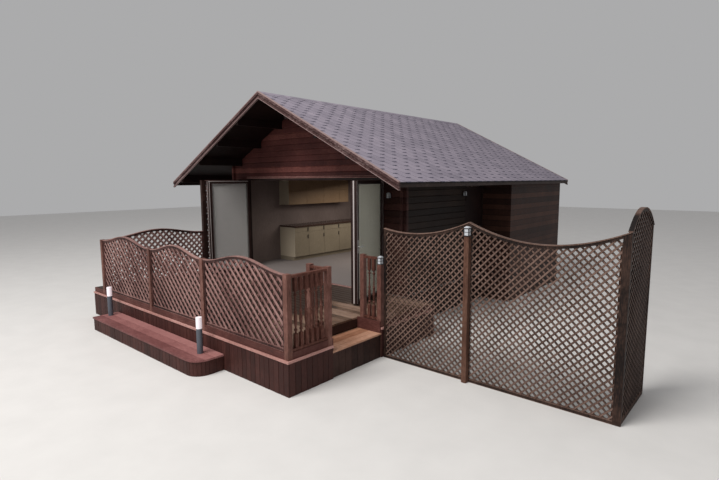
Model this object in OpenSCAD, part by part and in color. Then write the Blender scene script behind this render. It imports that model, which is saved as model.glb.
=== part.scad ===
/* [Cabin] */
// Width over the two side walls
cabin_w = 5180; // [4600:10:6400]
// Length over the front and rear walls
cabin_l = 6080; // [5400:10:8000]
// Thickness of the log walls
wall_t = 58; // [44:1:90]
// How far the logs stand out past the corners
log_out = 60; // [30:5:120]
// Thickness of the lining boards inside
lining_t = 12; // [9:1:18]
// Height of one log course
course_h = 121; // [90:1:160]
// Depth of the bevel between two logs
log_bevel = 9; // [4:1:14]
// Top of the finished floor above the ground
floor_z = 585; // [570:1:640]
// Thickness of the floor boards
floor_t = 28; // [18:1:40]
// Depth of the floor joists
joist_h = 145; // [95:1:195]
// Width of the floor joists
joist_w = 58; // [38:1:90]
// Thickness of the ledger that carries the deck along the cabin
ledger_t = 45; // [30:1:60]

/* [Roof] */
// Pitch of both roof slopes in degrees
roof_pitch = 27.1; // [22:0.1:34]
// Top of the roof surface at the eaves
eave_z = 2689; // [2600:1:2900]
// Overhang of the eaves beyond the side walls
eave_over = 766; // [400:1:900]
// Overhang of the canopy in front of the front wall
canopy = 1200; // [600:10:1600]
// Overhang of the roof behind the rear wall
rear_over = 225; // [120:5:500]
// Upright thickness of the roof boards
roof_t = 34; // [20:1:60]
// Height of the barge boards over the roof boards, for the shingles
shingle_room = 14; // [8:1:25]
// Depth of the barge boards
barge_h = 136; // [100:1:200]
// Thickness of the barge boards
barge_t = 25; // [16:1:35]
// Depth of the capping strip on the barge boards
strip_h = 62; // [40:1:90]
// Thickness of the capping strip on the barge boards
strip_t = 20; // [12:1:30]
// Depth of the eaves fascia
fascia_h = 92; // [70:1:160]
// Thickness of the eaves fascia
fascia_t = 20; // [14:1:30]
// Width of the roof purlins
purlin_w = 58; // [40:1:90]
// Depth of the roof purlins
purlin_h = 130; // [90:1:180]
// Number of purlins on each slope
purlin_n = 4; // [2:1:5]

/* [Folding doors] */
// Width of the front wall left of the opening
wing_left = 525; // [480:5:900]
// Width of the front wall right of the opening
wing_right = 475; // [400:5:900]
// Underside of the wall over the front opening
head_z = 2755; // [2600:1:2800]
// Width of the frame round the opening
frame_w = 46; // [30:1:70]
// Depth of the frame round the opening
frame_d = 74; // [60:1:110]
// Thickness of a folding leaf
leaf_t = 56; // [40:1:70]
// Width of the rails and stiles of a leaf
leaf_rail = 62; // [45:1:90]
// Gap between a leaf and what is next to it
leaf_gap = 8; // [4:1:15]
// Angle of the right folded leaves from straight out
right_fold = 12.5; // [0:1:25]
// Angle of the left folded leaves from straight out
left_fold = 6; // [0:1:25]

/* [Side door] */
// Start of the side doorway behind the front wall
door_y = 2210; // [1500:10:2600]
// Width of the side doorway
door_w = 790; // [700:5:900]
// Height of the side doorway above the floor
door_h = 2010; // [1900:5:2100]
// Thickness of the side door
door_t = 44; // [35:1:54]
// Gap all round the side door
door_gap = 7.5; // [7:0.5:10]
// Thickness of the side door's frame
door_frame_t = 32; // [22:1:45]

/* [Store] */
// Start of the store behind the front wall
store_y = 3030; // [3010:10:3600]
// Distance of the store's rear wall from the rear of the cabin
store_back = 60; // [0:10:400]
// How far the store stands out from the side wall
store_out = 666; // [400:2:700]
// Thickness of the store's walls
store_t = 40; // [25:1:60]

/* [Kitchen] */
// Start of the kitchen units behind the front wall
kitchen_y = 1357; // [900:1:1800]
// Length of the base units
base_l = 3300; // [2400:10:4400]
// Length of the wall units
wall_unit_l = 2330; // [1500:10:3300]
// Depth of the base units
base_d = 600; // [500:5:650]
// Depth of the wall units
wall_unit_d = 385; // [300:5:420]
// Height of the wall units
wall_unit_h = 720; // [500:5:900]
// Underside of the wall units above the floor
wall_unit_z = 1475; // [1300:5:1600]
// Top of the worktop above the floor
worktop_z = 920; // [860:5:960]
// Thickness of the worktop
worktop_t = 38; // [25:1:50]
// Height of the plinth under the base units
plinth_h = 100; // [60:5:150]

/* [Deck] */
// Length of the deck along the front
deck_w = 6030; // [5600:10:7000]
// Depth of the deck in front of the cabin
deck_d = 3320; // [2600:10:4200]
// Distance of the deck's right edge from the ridge line
deck_right = 3237; // [3000:1:3600]
// Top of the deck boards above the ground
deck_z = 555; // [520:1:570]
// Thickness of the deck boards
deck_t = 28; // [20:1:40]
// Top of the ledge round the deck above the ground
ledge_z = 470; // [400:1:500]
// Thickness of the ledge round the deck
ledge_t = 28; // [18:1:40]
// How far the ledge stands out from the deck's posts
ledge_out = 30; // [20:1:50]
// Thickness of the boards between the ledge and the railings
kick_t = 20; // [14:1:30]
// Thickness of the skirt boards
skirt_t = 20; // [14:1:30]
// Size of the square deck posts
post_w = 75; // [60:1:100]
// Top of the deck posts above the ground
post_z = 1568; // [1400:1:1700]
// Centres of the front posts along the deck, from its right edge
post_1 = 1945; // [1700:5:2100]
// Centre of the third front post from the right edge
post_2 = 3610; // [3300:5:3900]
// Distance of the left row of posts inside the left wall
post_3_in = 252; // [120:2:400]

/* [Lattice panels] */
// Rise of the hump over the posts
hump = 135; // [60:5:200]
// Underside of the panels above the deck ledge
panel_lift = 95; // [60:5:200]
// Width of the panel frames
panel_rail = 38; // [25:1:60]
// Width of the top rails of the deck's panels
top_rail = 46; // [30:1:70]
// Thickness of the capping on the top rails
cap_t = 13; // [8:1:20]
// Width of the capping on the top rails
cap_w = 50; // [36:1:66]
// Thickness of the panel frames
panel_t = 36; // [28:1:50]
// Width of a lattice slat
slat_w = 42; // [24:1:50]
// Thickness of a lattice slat
slat_t = 9; // [6:1:12]
// Distance between slats, measured along a rail
slat_pitch = 130; // [110:1:160]
// Length of the panel on the left side of the deck
side_panel_l = 2170; // [1700:10:2300]
// Top of the tall screen beside the cabin
screen_z = 2720; // [2000:10:2800]

/* [Stair] */
// Front edge of the stair from the deck's front edge
stair_y = 785; // [600:5:1000]
// Width of the stair between its posts
stair_w = 1060; // [900:5:1300]
// Distance of the inner posts from the edge of the deck at the stair
post_inset = 45; // [0:5:80]
// Going of the step
going = 464; // [300:2:500]
// Top of the step below the deck
step_drop = 170; // [120:2:200]

/* [Balustrade] */
// Width of the handrail
hand_w = 58; // [45:1:75]
// Thickness of the handrail
hand_t = 32; // [24:1:45]
// Top of the handrail below the post tops
hand_drop = 22; // [0:1:60]
// Width of a spindle
spindle_w = 46; // [30:1:56]
// Spindles in the run beside the corner post
near_n = 6; // [3:1:7]
// Spindles in each short return
return_n = 2; // [1:1:3]

/* [Platform] */
// Length of the low platform
platform_w = 3510; // [2400:10:4200]
// Depth of the low platform
platform_d = 465; // [350:5:700]
// Right edge of the platform from the deck's right edge
platform_x = 1390; // [1000:10:1800]
// Top of the platform above the ground
platform_z = 240; // [180:5:300]
// Radius of the platform's rounded corner
platform_r = 235; // [80:5:400]
// Height of the bollard lights above the platform
bollard_h = 533; // [400:5:700]
// Diameter of the bollard lights
bollard_d = 86; // [60:1:110]

/* [Fence] */
// Top of the fence at its posts
fence_z = 2165; // [1900:5:2400]
// Top of the fence where it leaves the deck
fence_start_z = 2000; // [1850:5:2200]
// Distance of the fence's middle line in front of the cabin
fence_front = 1420; // [1405:1:1440]
// Length of the first bay
bay_1 = 1411; // [1200:1:1900]
// Dip of the first bay's top
dip_1 = 112; // [60:2:160]
// Length of the second bay
bay_2 = 1900; // [1600:5:2200]
// Dip of the second bay's top
dip_2 = 215; // [120:5:280]
// Length of the return bay
bay_3 = 1075; // [900:5:1500]
// Rise of the return bay's arched top
arch_3 = 230; // [120:5:320]
// Width of the top rails of the fence
fence_rail = 52; // [36:1:70]
// Width of the slats of the fence
fence_slat_w = 36; // [22:1:44]
// Distance between slats of the fence, measured along a rail
fence_pitch = 122; // [105:1:150]
// Size of the square fence posts
fence_post_w = 68; // [55:1:100]
// Top of the fence posts below the top of the fence
fence_post_drop = 182; // [150:2:260]
// Height of the lamps on the posts
lamp_h = 128; // [90:2:180]
// Underside of the lamp on the front wall above the ground
wall_lamp_z = 2373; // [2000:1:2500]
// Distance of the lamp on the front wall from the opening
wall_lamp_in = 107; // [60:1:300]
// Underside of the lamp on the side wall above the ground
side_lamp_z = 2362; // [2000:1:2500]
// Height of the door handles above the floor
handle_z = 1000; // [850:10:1150]

/* [Hidden] */
$fn = 48;

half_w = cabin_w / 2;
slope = tan(roof_pitch);
roof_half = half_w + eave_over;
ridge_z = eave_z + roof_half * slope;
roof_front = -canopy + barge_t + strip_t;
roof_rear = cabin_l + rear_over - barge_t - strip_t;
joist_top = floor_z - floor_t;
joist_low = joist_top - joist_h;
door_z0 = floor_z + door_frame_t;
door_y1 = door_y + door_w;
deck_x0 = deck_right - deck_w;
front_y = -deck_d;
post_c = post_w / 2;
left_x = post_3_in - half_w;
post_xs = [deck_right - post_c, deck_right - post_1, deck_right - post_2, left_x];
post_y = front_y + post_c;
panel_z0 = ledge_z + panel_lift;
seat = 0.3;
stair_front = front_y + stair_y;
stair_back = stair_front + stair_w;
step_z = deck_z - step_drop;
step_x0 = deck_right - going;
near_post_y = stair_front - post_c;
far_post_y = stair_back + post_c;
return_x0 = step_x0 + post_inset + post_w;
return_l = deck_right - post_w - return_x0;
open_x0 = wing_left - half_w;
open_x1 = half_w - wing_right;
leaf_w = (open_x1 - open_x0 - 2 * frame_w) / 4 - leaf_gap;
hinge_h = 90;
hinge_r = 8;
jamb_hinge_r = 11;
leaf_z0 = floor_z;
leaf_z1 = head_z - frame_w - leaf_gap;
platform_x1 = deck_right - platform_x;
platform_x0 = platform_x1 - platform_w;
fence_x = deck_right + ledge_out + seat;
fence_joint_x = fence_x + bay_1;
fence_end_x = fence_joint_x + bay_2;
return_x = fence_end_x - cap_w / 2;
return_y = cap_w / 2 + seat - fence_front;
fence_post_c = (fence_post_w + panel_t) / 2 + seat;
lit_post = [fence_joint_x, -fence_front - fence_post_c];
lamp_over = 10;
deck_grid = [slat_pitch, slat_w, top_rail, false];
fence_grid = [fence_pitch, fence_slat_w, fence_rail, true];

// Height of the underside of the roof boards at a distance from the ridge line.
function soffit(x) = ridge_z - shingle_room - abs(x) * slope - roof_t - seat;

// Box between two corners.
module box(a, b) {
    translate(a)
        cube(b - a);
}

// Outer face of a stack of logs as points of [outwards, up], bevelled between the courses.
function log_face(z0, z1) = [
    for (i = [0 : ceil((z1 - z0) / course_h) - 1])
        let (low = z0 + i * course_h, high = min(z1, low + course_h))
        for (p = [[0, low + log_bevel], [0, high - log_bevel], [-log_bevel, high]])
            if (p[1] <= z1) p
];

// Cross-section of a log wall from its inner face at 0 to its outer face at wall_t.
module log_section(z0, z1) {
    face = log_face(z0, z1);
    polygon(concat([[0, z0], [wall_t - log_bevel, z0]], [for (p = face) [wall_t + p[0], p[1]]], [[0, z1]]));
}

// Log wall along X with its outer face at y = 0 looking to -Y.
module log_wall_x(x0, x1, z0, z1) {
    translate([x1, wall_t, 0])
        rotate([90, 0, -90])
            linear_extrude(x1 - x0)
                log_section(z0, z1);
}

// Log wall along Y with its outer face at x = half_w looking to +X, its top cut to the roof slope.
module log_wall_y(y0, y1, z0, z1) {
    translate([half_w - wall_t, y1, 0])
        rotate([90, 0, 0])
            linear_extrude(y1 - y0)
                log_section(z0, z1);
}

// Outline under the roof boards in X and Z, above a given height.
module gable_outline(z0, w) {
    polygon([[-w, z0], [w, z0], [w, soffit(w)], [0, soffit(0)], [-w, soffit(w)]]);
}

// Ends of the side wall's logs that stand out past the front wall at both corners.
module log_ends(z0, z1) {
    for (side = [0, 1])
        mirror([side, 0, 0])
            log_wall_y(-log_out, 1, z0, z1);
}

module gable_logs(z0) {
    difference() {
        intersection() {
            union() {
                log_wall_x(-half_w - log_out, half_w + log_out, z0, ridge_z);
                log_ends(z0, soffit(half_w - wall_t));
            }
            translate([0, wall_t + 1, 0])
                rotate([90, 0, 0])
                    linear_extrude(wall_t + log_out + 2)
                        gable_outline(z0, half_w + log_out);
        }
        purlins_at(-wall_t, 2 * wall_t);
    }
}

// Purlins under the roof boards between two places along the roof.
module purlins_at(y0, y1) {
    for (side = [-1, 1])
        for (i = [1 : purlin_n])
            let (x = i * (half_w + eave_over * 0.75) / (purlin_n + 0.2))
            purlin(side, x, y0, y1);
    translate([0, y1, 0])
        rotate([90, 0, 0])
            linear_extrude(y1 - y0)
                polygon([
                    [-purlin_w / 2, soffit(0) - purlin_h], [purlin_w / 2, soffit(0) - purlin_h],
                    [purlin_w / 2, soffit(purlin_w / 2)], [0, soffit(0)], [-purlin_w / 2, soffit(purlin_w / 2)]
                ]);
}

module purlin(side, x, y0, y1) {
    a = x - purlin_w / 2;
    b = x + purlin_w / 2;
    translate([0, y1, 0])
        rotate([90, 0, 0])
            linear_extrude(y1 - y0)
                polygon([
                    [side * a, soffit(b) - purlin_h], [side * b, soffit(b) - purlin_h],
                    [side * b, soffit(b)], [side * a, soffit(a)]
                ]);
}

module base_frame() {
    x0 = -half_w + joist_w + seat;
    color("#4a3a30") {
        for (x = [-half_w, half_w - joist_w])
            box([x, joist_w + seat, 0], [x + joist_w, cabin_l - joist_w - seat, joist_top]);
        box([-half_w, 0, 0], [half_w, joist_w, joist_top]);
        box([-half_w, -ledger_t, 0], [half_w, joist_w, deck_z - deck_t]);
        box([-half_w, cabin_l - joist_w, 0], [half_w, cabin_l, joist_top]);
        for (i = [1 : 5])
            let (y = i * cabin_l / 6)
            box([x0, y, joist_low], [-x0, y + joist_w, joist_top]);
    }
}

module floor_boards() {
    color("#8d8681")
        box([-half_w, 0, joist_top], [half_w, cabin_l, floor_z]);
}

module front_walls() {
    color("#3c2a22") {
        log_wall_x(-half_w - log_out, open_x0, floor_z, head_z);
        log_wall_x(open_x1, half_w + log_out, floor_z, head_z);
        log_ends(floor_z, head_z);
    }
}

module front_gable() {
    color("#3c2a22")
        gable_logs(head_z);
}

module rear_wall() {
    color("#3c2a22")
        translate([0, cabin_l, 0])
            rotate([0, 0, 180])
                gable_logs(floor_z);
}

// Right side wall section between two places, cut to the roof slope.
module side_logs(y0, y1, z0) {
    intersection() {
        log_wall_y(y0, y1, z0, soffit(half_w - wall_t));
        translate([0, y1 + 1, 0])
            rotate([90, 0, 0])
                linear_extrude(y1 - y0 + 2)
                    gable_outline(z0 - 1, half_w);
    }
}

module left_wall() {
    color("#3c2a22")
        mirror([1, 0, 0])
            side_logs(wall_t, cabin_l - wall_t, floor_z);
}

module right_wall() {
    color("#3c2a22") {
        side_logs(wall_t, door_y, floor_z);
        side_logs(door_y + seat, door_y1 - seat, floor_z + door_h);
        side_logs(door_y1, cabin_l - wall_t, floor_z);
    }
}

module inner_lining() {
    x = half_w - wall_t;
    z1 = soffit(half_w) - purlin_h;
    color("#b3aaa2") {
        box([-x, wall_t, floor_z], [-x + lining_t, cabin_l - wall_t, z1]);
        box([-x + lining_t, cabin_l - wall_t - lining_t, floor_z], [x, cabin_l - wall_t, z1]);
        box([x - lining_t, door_y1, floor_z], [x, cabin_l - wall_t - lining_t, z1]);
        box([x - lining_t, wall_t, floor_z], [x, door_y, z1]);
    }
}

module roof_slope(side) {
    color("#7b7480")
        translate([0, roof_rear, 0])
            rotate([90, 0, 0])
                linear_extrude(roof_rear - roof_front)
                    let (a = seat / 2, x = roof_half - fascia_t, top = ridge_z - shingle_room)
                    polygon([
                        [side * a, top - a * slope], [side * x, top - x * slope],
                        [side * x, top - x * slope - roof_t], [side * a, top - a * slope - roof_t]
                    ]);
}

module roof_boards() {
    roof_slope(-1);
    roof_slope(1);
}

module purlins() {
    color("#3a2a22")
        purlins_at(roof_front, roof_rear);
}

// Board along one slope between two depths below the roof surface, mitred at the ridge.
module barge_board(side, top, low, t) {
    a = seat / 2;
    rotate([90, 0, 0])
        linear_extrude(t)
            polygon([
                [side * a, ridge_z - a * slope - top], [side * roof_half, eave_z - top],
                [side * roof_half, eave_z - low], [side * a, ridge_z - a * slope - low]
            ]);
}

module barge_set() {
    for (side = [-1, 1]) {
        barge_board(side, 0, barge_h, barge_t);
        translate([0, -barge_t, 0])
            barge_board(side, 0, strip_h, strip_t);
    }
}

module barge_boards() {
    color("#6d4f45") {
        translate([0, roof_front, 0])
            barge_set();
        translate([0, roof_rear, 0])
            mirror([0, 1, 0])
                barge_set();
    }
}

module eave_fascias() {
    color("#5d4a42")
        for (side = [-1, 1])
            translate([0, roof_rear, 0])
                rotate([90, 0, 0])
                    linear_extrude(roof_rear - roof_front)
                        let (x = roof_half - fascia_t, top = eave_z - shingle_room)
                        polygon([
                            [side * x, top + fascia_t * slope], [side * roof_half, top],
                            [side * roof_half, eave_z - fascia_h], [side * x, eave_z - fascia_h]
                        ]);
}

module opening_frame() {
    color("#4b3730") {
        box([open_x0, 0, floor_z], [open_x0 + frame_w, frame_d, head_z]);
        box([open_x1 - frame_w, 0, floor_z], [open_x1, frame_d, head_z]);
        box([open_x0 + frame_w, 0, head_z - frame_w], [open_x1 - frame_w, frame_d, head_z]);
    }
}

// Hinge barrels that join the jamb, the first leaf and the second leaf.
module leaf_hinges() {
    for (z = [leaf_z0 + 250, (leaf_z0 + leaf_z1) / 2, leaf_z1 - 250]) {
        translate([leaf_t / 2, leaf_gap, z])
            cylinder(h = hinge_h, r = jamb_hinge_r, $fn = 24);
        translate([leaf_t + leaf_gap / 2, -leaf_w + hinge_r, z])
            cylinder(h = hinge_h, r = hinge_r, $fn = 24);
    }
}

// Two leaves folded against each other, standing out from a jamb along -Y.
module leaf_frame_pair() {
    leaf_hinges();
    for (k = [0, 1])
        translate([k * (leaf_t + leaf_gap), 0, 0])
            difference() {
                box([0, -leaf_w, leaf_z0], [leaf_t, 0, leaf_z1]);
                box([-1, -leaf_w + leaf_rail, leaf_z0 + leaf_rail], [leaf_t + 1, -leaf_rail, leaf_z1 - leaf_rail]);
            }
}

module leaf_pane_pair() {
    for (k = [0, 1])
        translate([k * (leaf_t + leaf_gap), 0, 0])
            box([leaf_t / 2 - 4, -leaf_w + leaf_rail, leaf_z0 + leaf_rail],
                [leaf_t / 2 + 4, -leaf_rail, leaf_z1 - leaf_rail]);
}

module leaf_blind() {
    translate([leaf_t + leaf_gap, 0, 0])
        box([leaf_t / 2 - 12, -leaf_w + leaf_rail, leaf_z0 + leaf_rail],
            [leaf_t / 2 - 4, -leaf_rail, leaf_z1 - leaf_rail]);
}

module at_left_jamb() {
    translate([open_x0 - leaf_gap, -leaf_gap, 0])
        rotate([0, 0, -left_fold])
            children();
}

module at_right_jamb() {
    translate([open_x1 + leaf_gap, -leaf_gap, 0])
        rotate([0, 0, right_fold])
            mirror([1, 0, 0])
                children();
}

module left_leaves() {
    color("#3f2f28")
        difference() {
            at_left_jamb()
                leaf_frame_pair();
            box([open_x0 - frame_w, -seat, 0], [open_x0 + 2 * frame_w, frame_d, head_z]);
        }
}

module right_leaves() {
    color("#9d9a98")
        difference() {
            at_right_jamb()
                leaf_frame_pair();
            box([open_x1 - 2 * frame_w, -seat, 0], [open_x1 + frame_w, frame_d, head_z]);
        }
}

module leaf_panes() {
    color("#b9c6bd") {
        at_left_jamb()
            leaf_pane_pair();
        at_right_jamb()
            leaf_pane_pair();
    }
}

module leaf_blinds() {
    color("#a9a8a6")
        at_left_jamb()
            leaf_blind();
}

module leaf_handles() {
    color("#c9c9c9")
        at_right_jamb()
            translate([-6, -leaf_w + leaf_rail / 2, floor_z + handle_z]) {
                translate([0, -13, -110])
                    cube([6, 26, 220]);
                rotate([0, -90, 0])
                    cylinder(h = 45, d = 18);
                translate([-45, -9, -9])
                    cube([14, 130, 18]);
            }
}

door_hinge_x = half_w + 9;
door_hinge_y = door_y + door_frame_t + door_gap / 2;
door_hinge_zs = [floor_z + 250, floor_z + door_h - 340];

// One turn of a butt hinge: a round barrel with a plate to one side.
module barrel(z, h, side, bore) {
    difference() {
        union() {
            translate([door_hinge_x, door_hinge_y, z])
                cylinder(h = h, r = hinge_r, $fn = 24);
            translate([door_hinge_x - 9 + (side > 0 ? -4 : 0), side > 0 ? door_hinge_y + 3 : door_hinge_y - 28, z])
                cube([side > 0 ? 9 : 5, 25, h]);
        }
        if (bore)
            translate([door_hinge_x, door_hinge_y, z - 1])
                cylinder(h = h + 2, r = 4 + seat, $fn = 24);
    }
}

module side_door_frame() {
    x0 = half_w - wall_t - lining_t;
    color("#37271f") {
        box([x0, door_y, floor_z], [half_w, door_y + door_frame_t, floor_z + door_h]);
        box([x0, door_y1 - door_frame_t, floor_z], [half_w, door_y1, floor_z + door_h]);
        box([x0, door_y + door_frame_t, floor_z + door_h - door_frame_t],
            [half_w, door_y1 - door_frame_t, floor_z + door_h]);
        for (z = door_hinge_zs) {
            barrel(z, 30, -1, false);
            barrel(z + 61, 30, -1, false);
            translate([door_hinge_x, door_hinge_y, z])
                cylinder(h = 91, r = 4, $fn = 24);
        }
    }
}

module side_door() {
    x1 = half_w - 4;
    color("#33231d") {
        box([x1 - door_t, door_y + door_frame_t + door_gap, floor_z + door_gap],
            [x1, door_y1 - door_frame_t - door_gap, floor_z + door_h - door_frame_t - door_gap]);
        for (z = door_hinge_zs)
            barrel(z + 30 + seat, 31 - 2 * seat, 1, true);
    }
}

module side_door_handle() {
    y = door_y1 - door_frame_t - door_gap - 60;
    color("#c0c0c0")
        translate([half_w - 4, y, floor_z + handle_z]) {
            translate([0, -18, -100])
                cube([6, 36, 200]);
            translate([6, 0, 0])
                rotate([0, 90, 0])
                    cylinder(h = 40, d = 18);
            translate([32, -115, -9])
                cube([14, 124, 18]);
        }
}

store_x1 = half_w + store_out;
store_y1 = cabin_l - store_back;

// Top of the store's walls under the roof boards at a distance from the ridge line.
module store_end(y0) {
    translate([0, y0 + store_t, 0])
        rotate([90, 0, 0])
            linear_extrude(store_t)
                polygon([[half_w, 0], [store_x1, 0], [store_x1, soffit(store_x1)], [half_w, soffit(half_w)]]);
}

module store_walls() {
    color("#54412f") {
        difference() {
            union() {
                store_end(store_y);
                store_end(store_y1 - store_t);
            }
            purlins_at(store_y - 1, store_y1 + 1);
        }
        translate([0, store_y1 - store_t - seat, 0])
            rotate([90, 0, 0])
                linear_extrude(store_y1 - store_y - 2 * store_t - 2 * seat)
                    polygon([
                        [store_x1 - store_t, 0], [store_x1, 0], [store_x1, soffit(store_x1)],
                        [store_x1 - store_t, soffit(store_x1 - store_t)]
                    ]);
    }
}

unit_x = -half_w + wall_t + lining_t;

module kitchen_units() {
    color("#d9d2b8") {
        box([unit_x, kitchen_y, floor_z + plinth_h],
            [unit_x + base_d, kitchen_y + base_l, floor_z + worktop_z - worktop_t]);
        box([unit_x, kitchen_y, floor_z],
            [unit_x + base_d - 50, kitchen_y + base_l, floor_z + plinth_h]);
        box([unit_x, kitchen_y, floor_z + wall_unit_z],
            [unit_x + wall_unit_d, kitchen_y + wall_unit_l, floor_z + wall_unit_z + wall_unit_h]);
    }
}

module worktop() {
    color("#3a2e29")
        box([unit_x, kitchen_y - 10, floor_z + worktop_z - worktop_t],
            [unit_x + base_d + 20, kitchen_y + base_l, floor_z + worktop_z]);
}

// Front face of a deck joist, counted from the front.
function joist_y(i) = front_y + 180 + i * (deck_d - 320) / 6;

module deck_frame() {
    top = deck_z - deck_t;
    x0 = deck_x0 + skirt_t;
    x1 = deck_right - skirt_t;
    color("#4a3a30") {
        for (i = [0 : 5])
            let (y = joist_y(i), beside = y > stair_front - 2 * post_w && y < stair_back + 2 * post_w)
            difference() {
                box([x0, y, top - joist_h], [beside ? step_x0 - 2 * skirt_t : x1, y + joist_w, top]);
                side_posts(post_w + 2 * seat);
            }
        for (x = [x0 + 60, -1000, 900, step_x0 - 260])
            for (i = [0, 5])
                let (y = joist_y(i) + joist_w / 2)
                box([x - post_c, y - post_c, 0], [x + post_c, y + post_c, top - joist_h - seat]);
    }
}

module deck_boards() {
    color("#8f6f5c")
        difference() {
            box([deck_x0, front_y + kick_t, deck_z - deck_t], [deck_right - kick_t, 0, deck_z]);
            box([step_x0, stair_front, deck_z - deck_t - 1], [deck_right + 1, stair_back, deck_z + 1]);
            for (x = post_xs)
                box([x - post_c, post_y - post_c, 0], [x + post_c, post_y + post_c, deck_z + 1]);
            stair_posts(post_w);
            side_posts(post_w);
        }
}

// Posts beside the stair, the one with the lamp shorter than the others.
module stair_posts(w) {
    lit = deck_right - post_c;
    for (x = [return_x0 - post_c, lit])
        for (y = [near_post_y, far_post_y])
            let (z = x == lit && y == far_post_y ? post_z - lamp_h : post_z)
            box([x - w / 2, y - w / 2, 0], [x + w / 2, y + w / 2, z]);
}

// Posts along the left side of the deck.
module side_posts(w) {
    y = front_y + side_panel_l + post_w + post_c;
    box([left_x - w / 2, y - w / 2, 0], [left_x + w / 2, y + w / 2, screen_z]);
    box([left_x - w / 2, -w - 1, deck_z], [left_x + w / 2, -1, screen_z]);
}

module deck_posts() {
    color("#5f443c") {
        for (x = post_xs)
            box([x - post_c, post_y - post_c, 0], [x + post_c, post_y + post_c, post_z]);
        stair_posts(post_w);
        side_posts(post_w);
    }
}

module deck_skirt() {
    z1 = ledge_z - ledge_t;
    color("#553d35") {
        box([deck_x0, front_y - skirt_t, 0], [deck_right + skirt_t, front_y - seat, z1]);
        box([deck_x0, front_y, 0], [deck_x0 + skirt_t, 0, z1]);
        box([deck_right, front_y, 0], [deck_right + skirt_t, stair_front, z1]);
        box([deck_right, stair_back, 0], [deck_right + skirt_t, 0, z1]);
    }
}

// Boards that close the gap between the ledge and the railings.
module kick_boards() {
    z1 = panel_z0 - seat;
    x = deck_right - kick_t;
    color("#7c584d") {
        for (i = [0 : 2])
            box([post_xs[i + 1] + post_c, front_y, ledge_z], [post_xs[i] - post_c, front_y + kick_t, z1]);
        box([deck_x0, front_y, ledge_z], [left_x - post_c, front_y + kick_t, deck_z]);
        box([x, front_y + post_w, ledge_z], [deck_right, near_post_y - post_c, z1]);
        box([x, far_post_y + post_c, ledge_z], [deck_right, 0, deck_z]);
        for (y = [stair_front + seat, stair_back - kick_t])
            box([step_x0, y, step_z + seat], [deck_right, y + kick_t - seat, z1]);
    }
}

module deck_ledge() {
    z0 = ledge_z - ledge_t;
    color("#8c6c62") {
        box([deck_x0, front_y - ledge_out, z0], [deck_right + ledge_out, front_y, ledge_z]);
        box([deck_right, front_y + seat, z0], [deck_right + ledge_out, stair_front, ledge_z]);
        box([deck_right, stair_back, z0], [deck_right + ledge_out, 0, ledge_z]);
    }
}

// Rise of a bell-shaped hump at a share of the panel's length.
function bell(s, rise) = rise * (1 - cos(360 * s)) / 2;

// Fall of an even sag at a share of the panel's length.
function sag(s, dip) = dip * 4 * s * (1 - s);

// Points along a panel's top, with a kind of 1 for a hump, 2 for a dip and 3 for an arch.
function top_line(l, z0, z1, kind, rise, low, x0, x1) = [
    for (i = [24 : -1 : 0])
        let (x = x0 + (x1 - x0) * i / 24, s = x / l, base = z0 + (z1 - z0) * s)
        [x, base + (kind == 1 ? bell(s, rise) : kind == 2 ? -sag(s, rise) : sag(s, rise)) - low]
];

// Outline of a panel in its own plane, drawn in by a margin and by a margin of its own at the top.
module panel_outline(l, low, z0, z1, kind, rise, margin, top) {
    polygon(concat([[margin, low + margin], [l - margin, low + margin]],
        top_line(l, z0, z1, kind, rise, top, margin, l - margin)));
}

// Diagonal slats that rise at 45 degrees, from left to right or the other way.
module slats(l, low, high, pitch, width, to_right) {
    h = high - low;
    for (i = [0 : ceil((l + h) / pitch)])
        translate([to_right ? i * pitch - h : i * pitch, low])
            rotate(to_right ? 45 : 135)
                translate([-50, -width / 2])
                    square([h * 1.5 + 100, width]);
}

// Lattice panel standing on its lower edge, its length along X and its front looking to -Y.
// The grid gives the pitch and width of its slats, the width of its top rail and the way the front slats lean.
module lattice_panel(l, low, z0, z1, kind, rise, grid) {
    high = max(z0, z1) + (kind == 2 ? 0 : rise);
    rotate([90, 0, 0]) {
        translate([0, 0, -cap_w / 2])
            linear_extrude(cap_w)
                difference() {
                    panel_outline(l, low, z0, z1, kind, rise, 0, 0);
                    panel_outline(l, low - panel_rail, z0, z1, kind, rise, -1, cap_t);
                }
        translate([0, 0, -panel_t / 2])
            linear_extrude(panel_t)
                difference() {
                    panel_outline(l, low, z0, z1, kind, rise, 0, cap_t - 1);
                    panel_outline(l, low, z0, z1, kind, rise, panel_rail, grid[2]);
                }
        for (k = [0, 1])
            translate([0, 0, k * (slat_t - 1) - slat_t + 0.5])
                linear_extrude(slat_t)
                    intersection() {
                        slats(l, low, high, grid[0], grid[1], (k == 1) == grid[3]);
                        panel_outline(l, low, z0, z1, kind, rise, panel_rail - 6, grid[2] - 6);
                    }
    }
}

module front_panel(i) {
    x1 = post_xs[i] - post_c - seat;
    x0 = post_xs[i + 1] + post_c + seat;
    color("#6b4d44")
        translate([x0, post_y, 0])
            lattice_panel(x1 - x0, panel_z0, post_z - 6, post_z - 6, 1, hump, deck_grid);
}

module front_panel_1() {
    front_panel(0);
}

module front_panel_2() {
    front_panel(1);
}

module front_panel_3() {
    front_panel(2);
}

module left_panel() {
    color("#6b4d44")
        translate([left_x, front_y + post_w + seat, 0])
            rotate([0, 0, 90])
                lattice_panel(side_panel_l - 2 * seat, panel_z0, post_z - 6, post_z - 6, 1, hump, deck_grid);
}

module left_screen() {
    y0 = front_y + side_panel_l + 2 * post_w + seat;
    l = -post_w - 1 - seat - y0;
    color("#5c443b")
        translate([left_x, y0, 0])
            rotate([0, 0, 90])
                lattice_panel(l, panel_z0, screen_z, screen_z, 1, 0, deck_grid);
}

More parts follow.
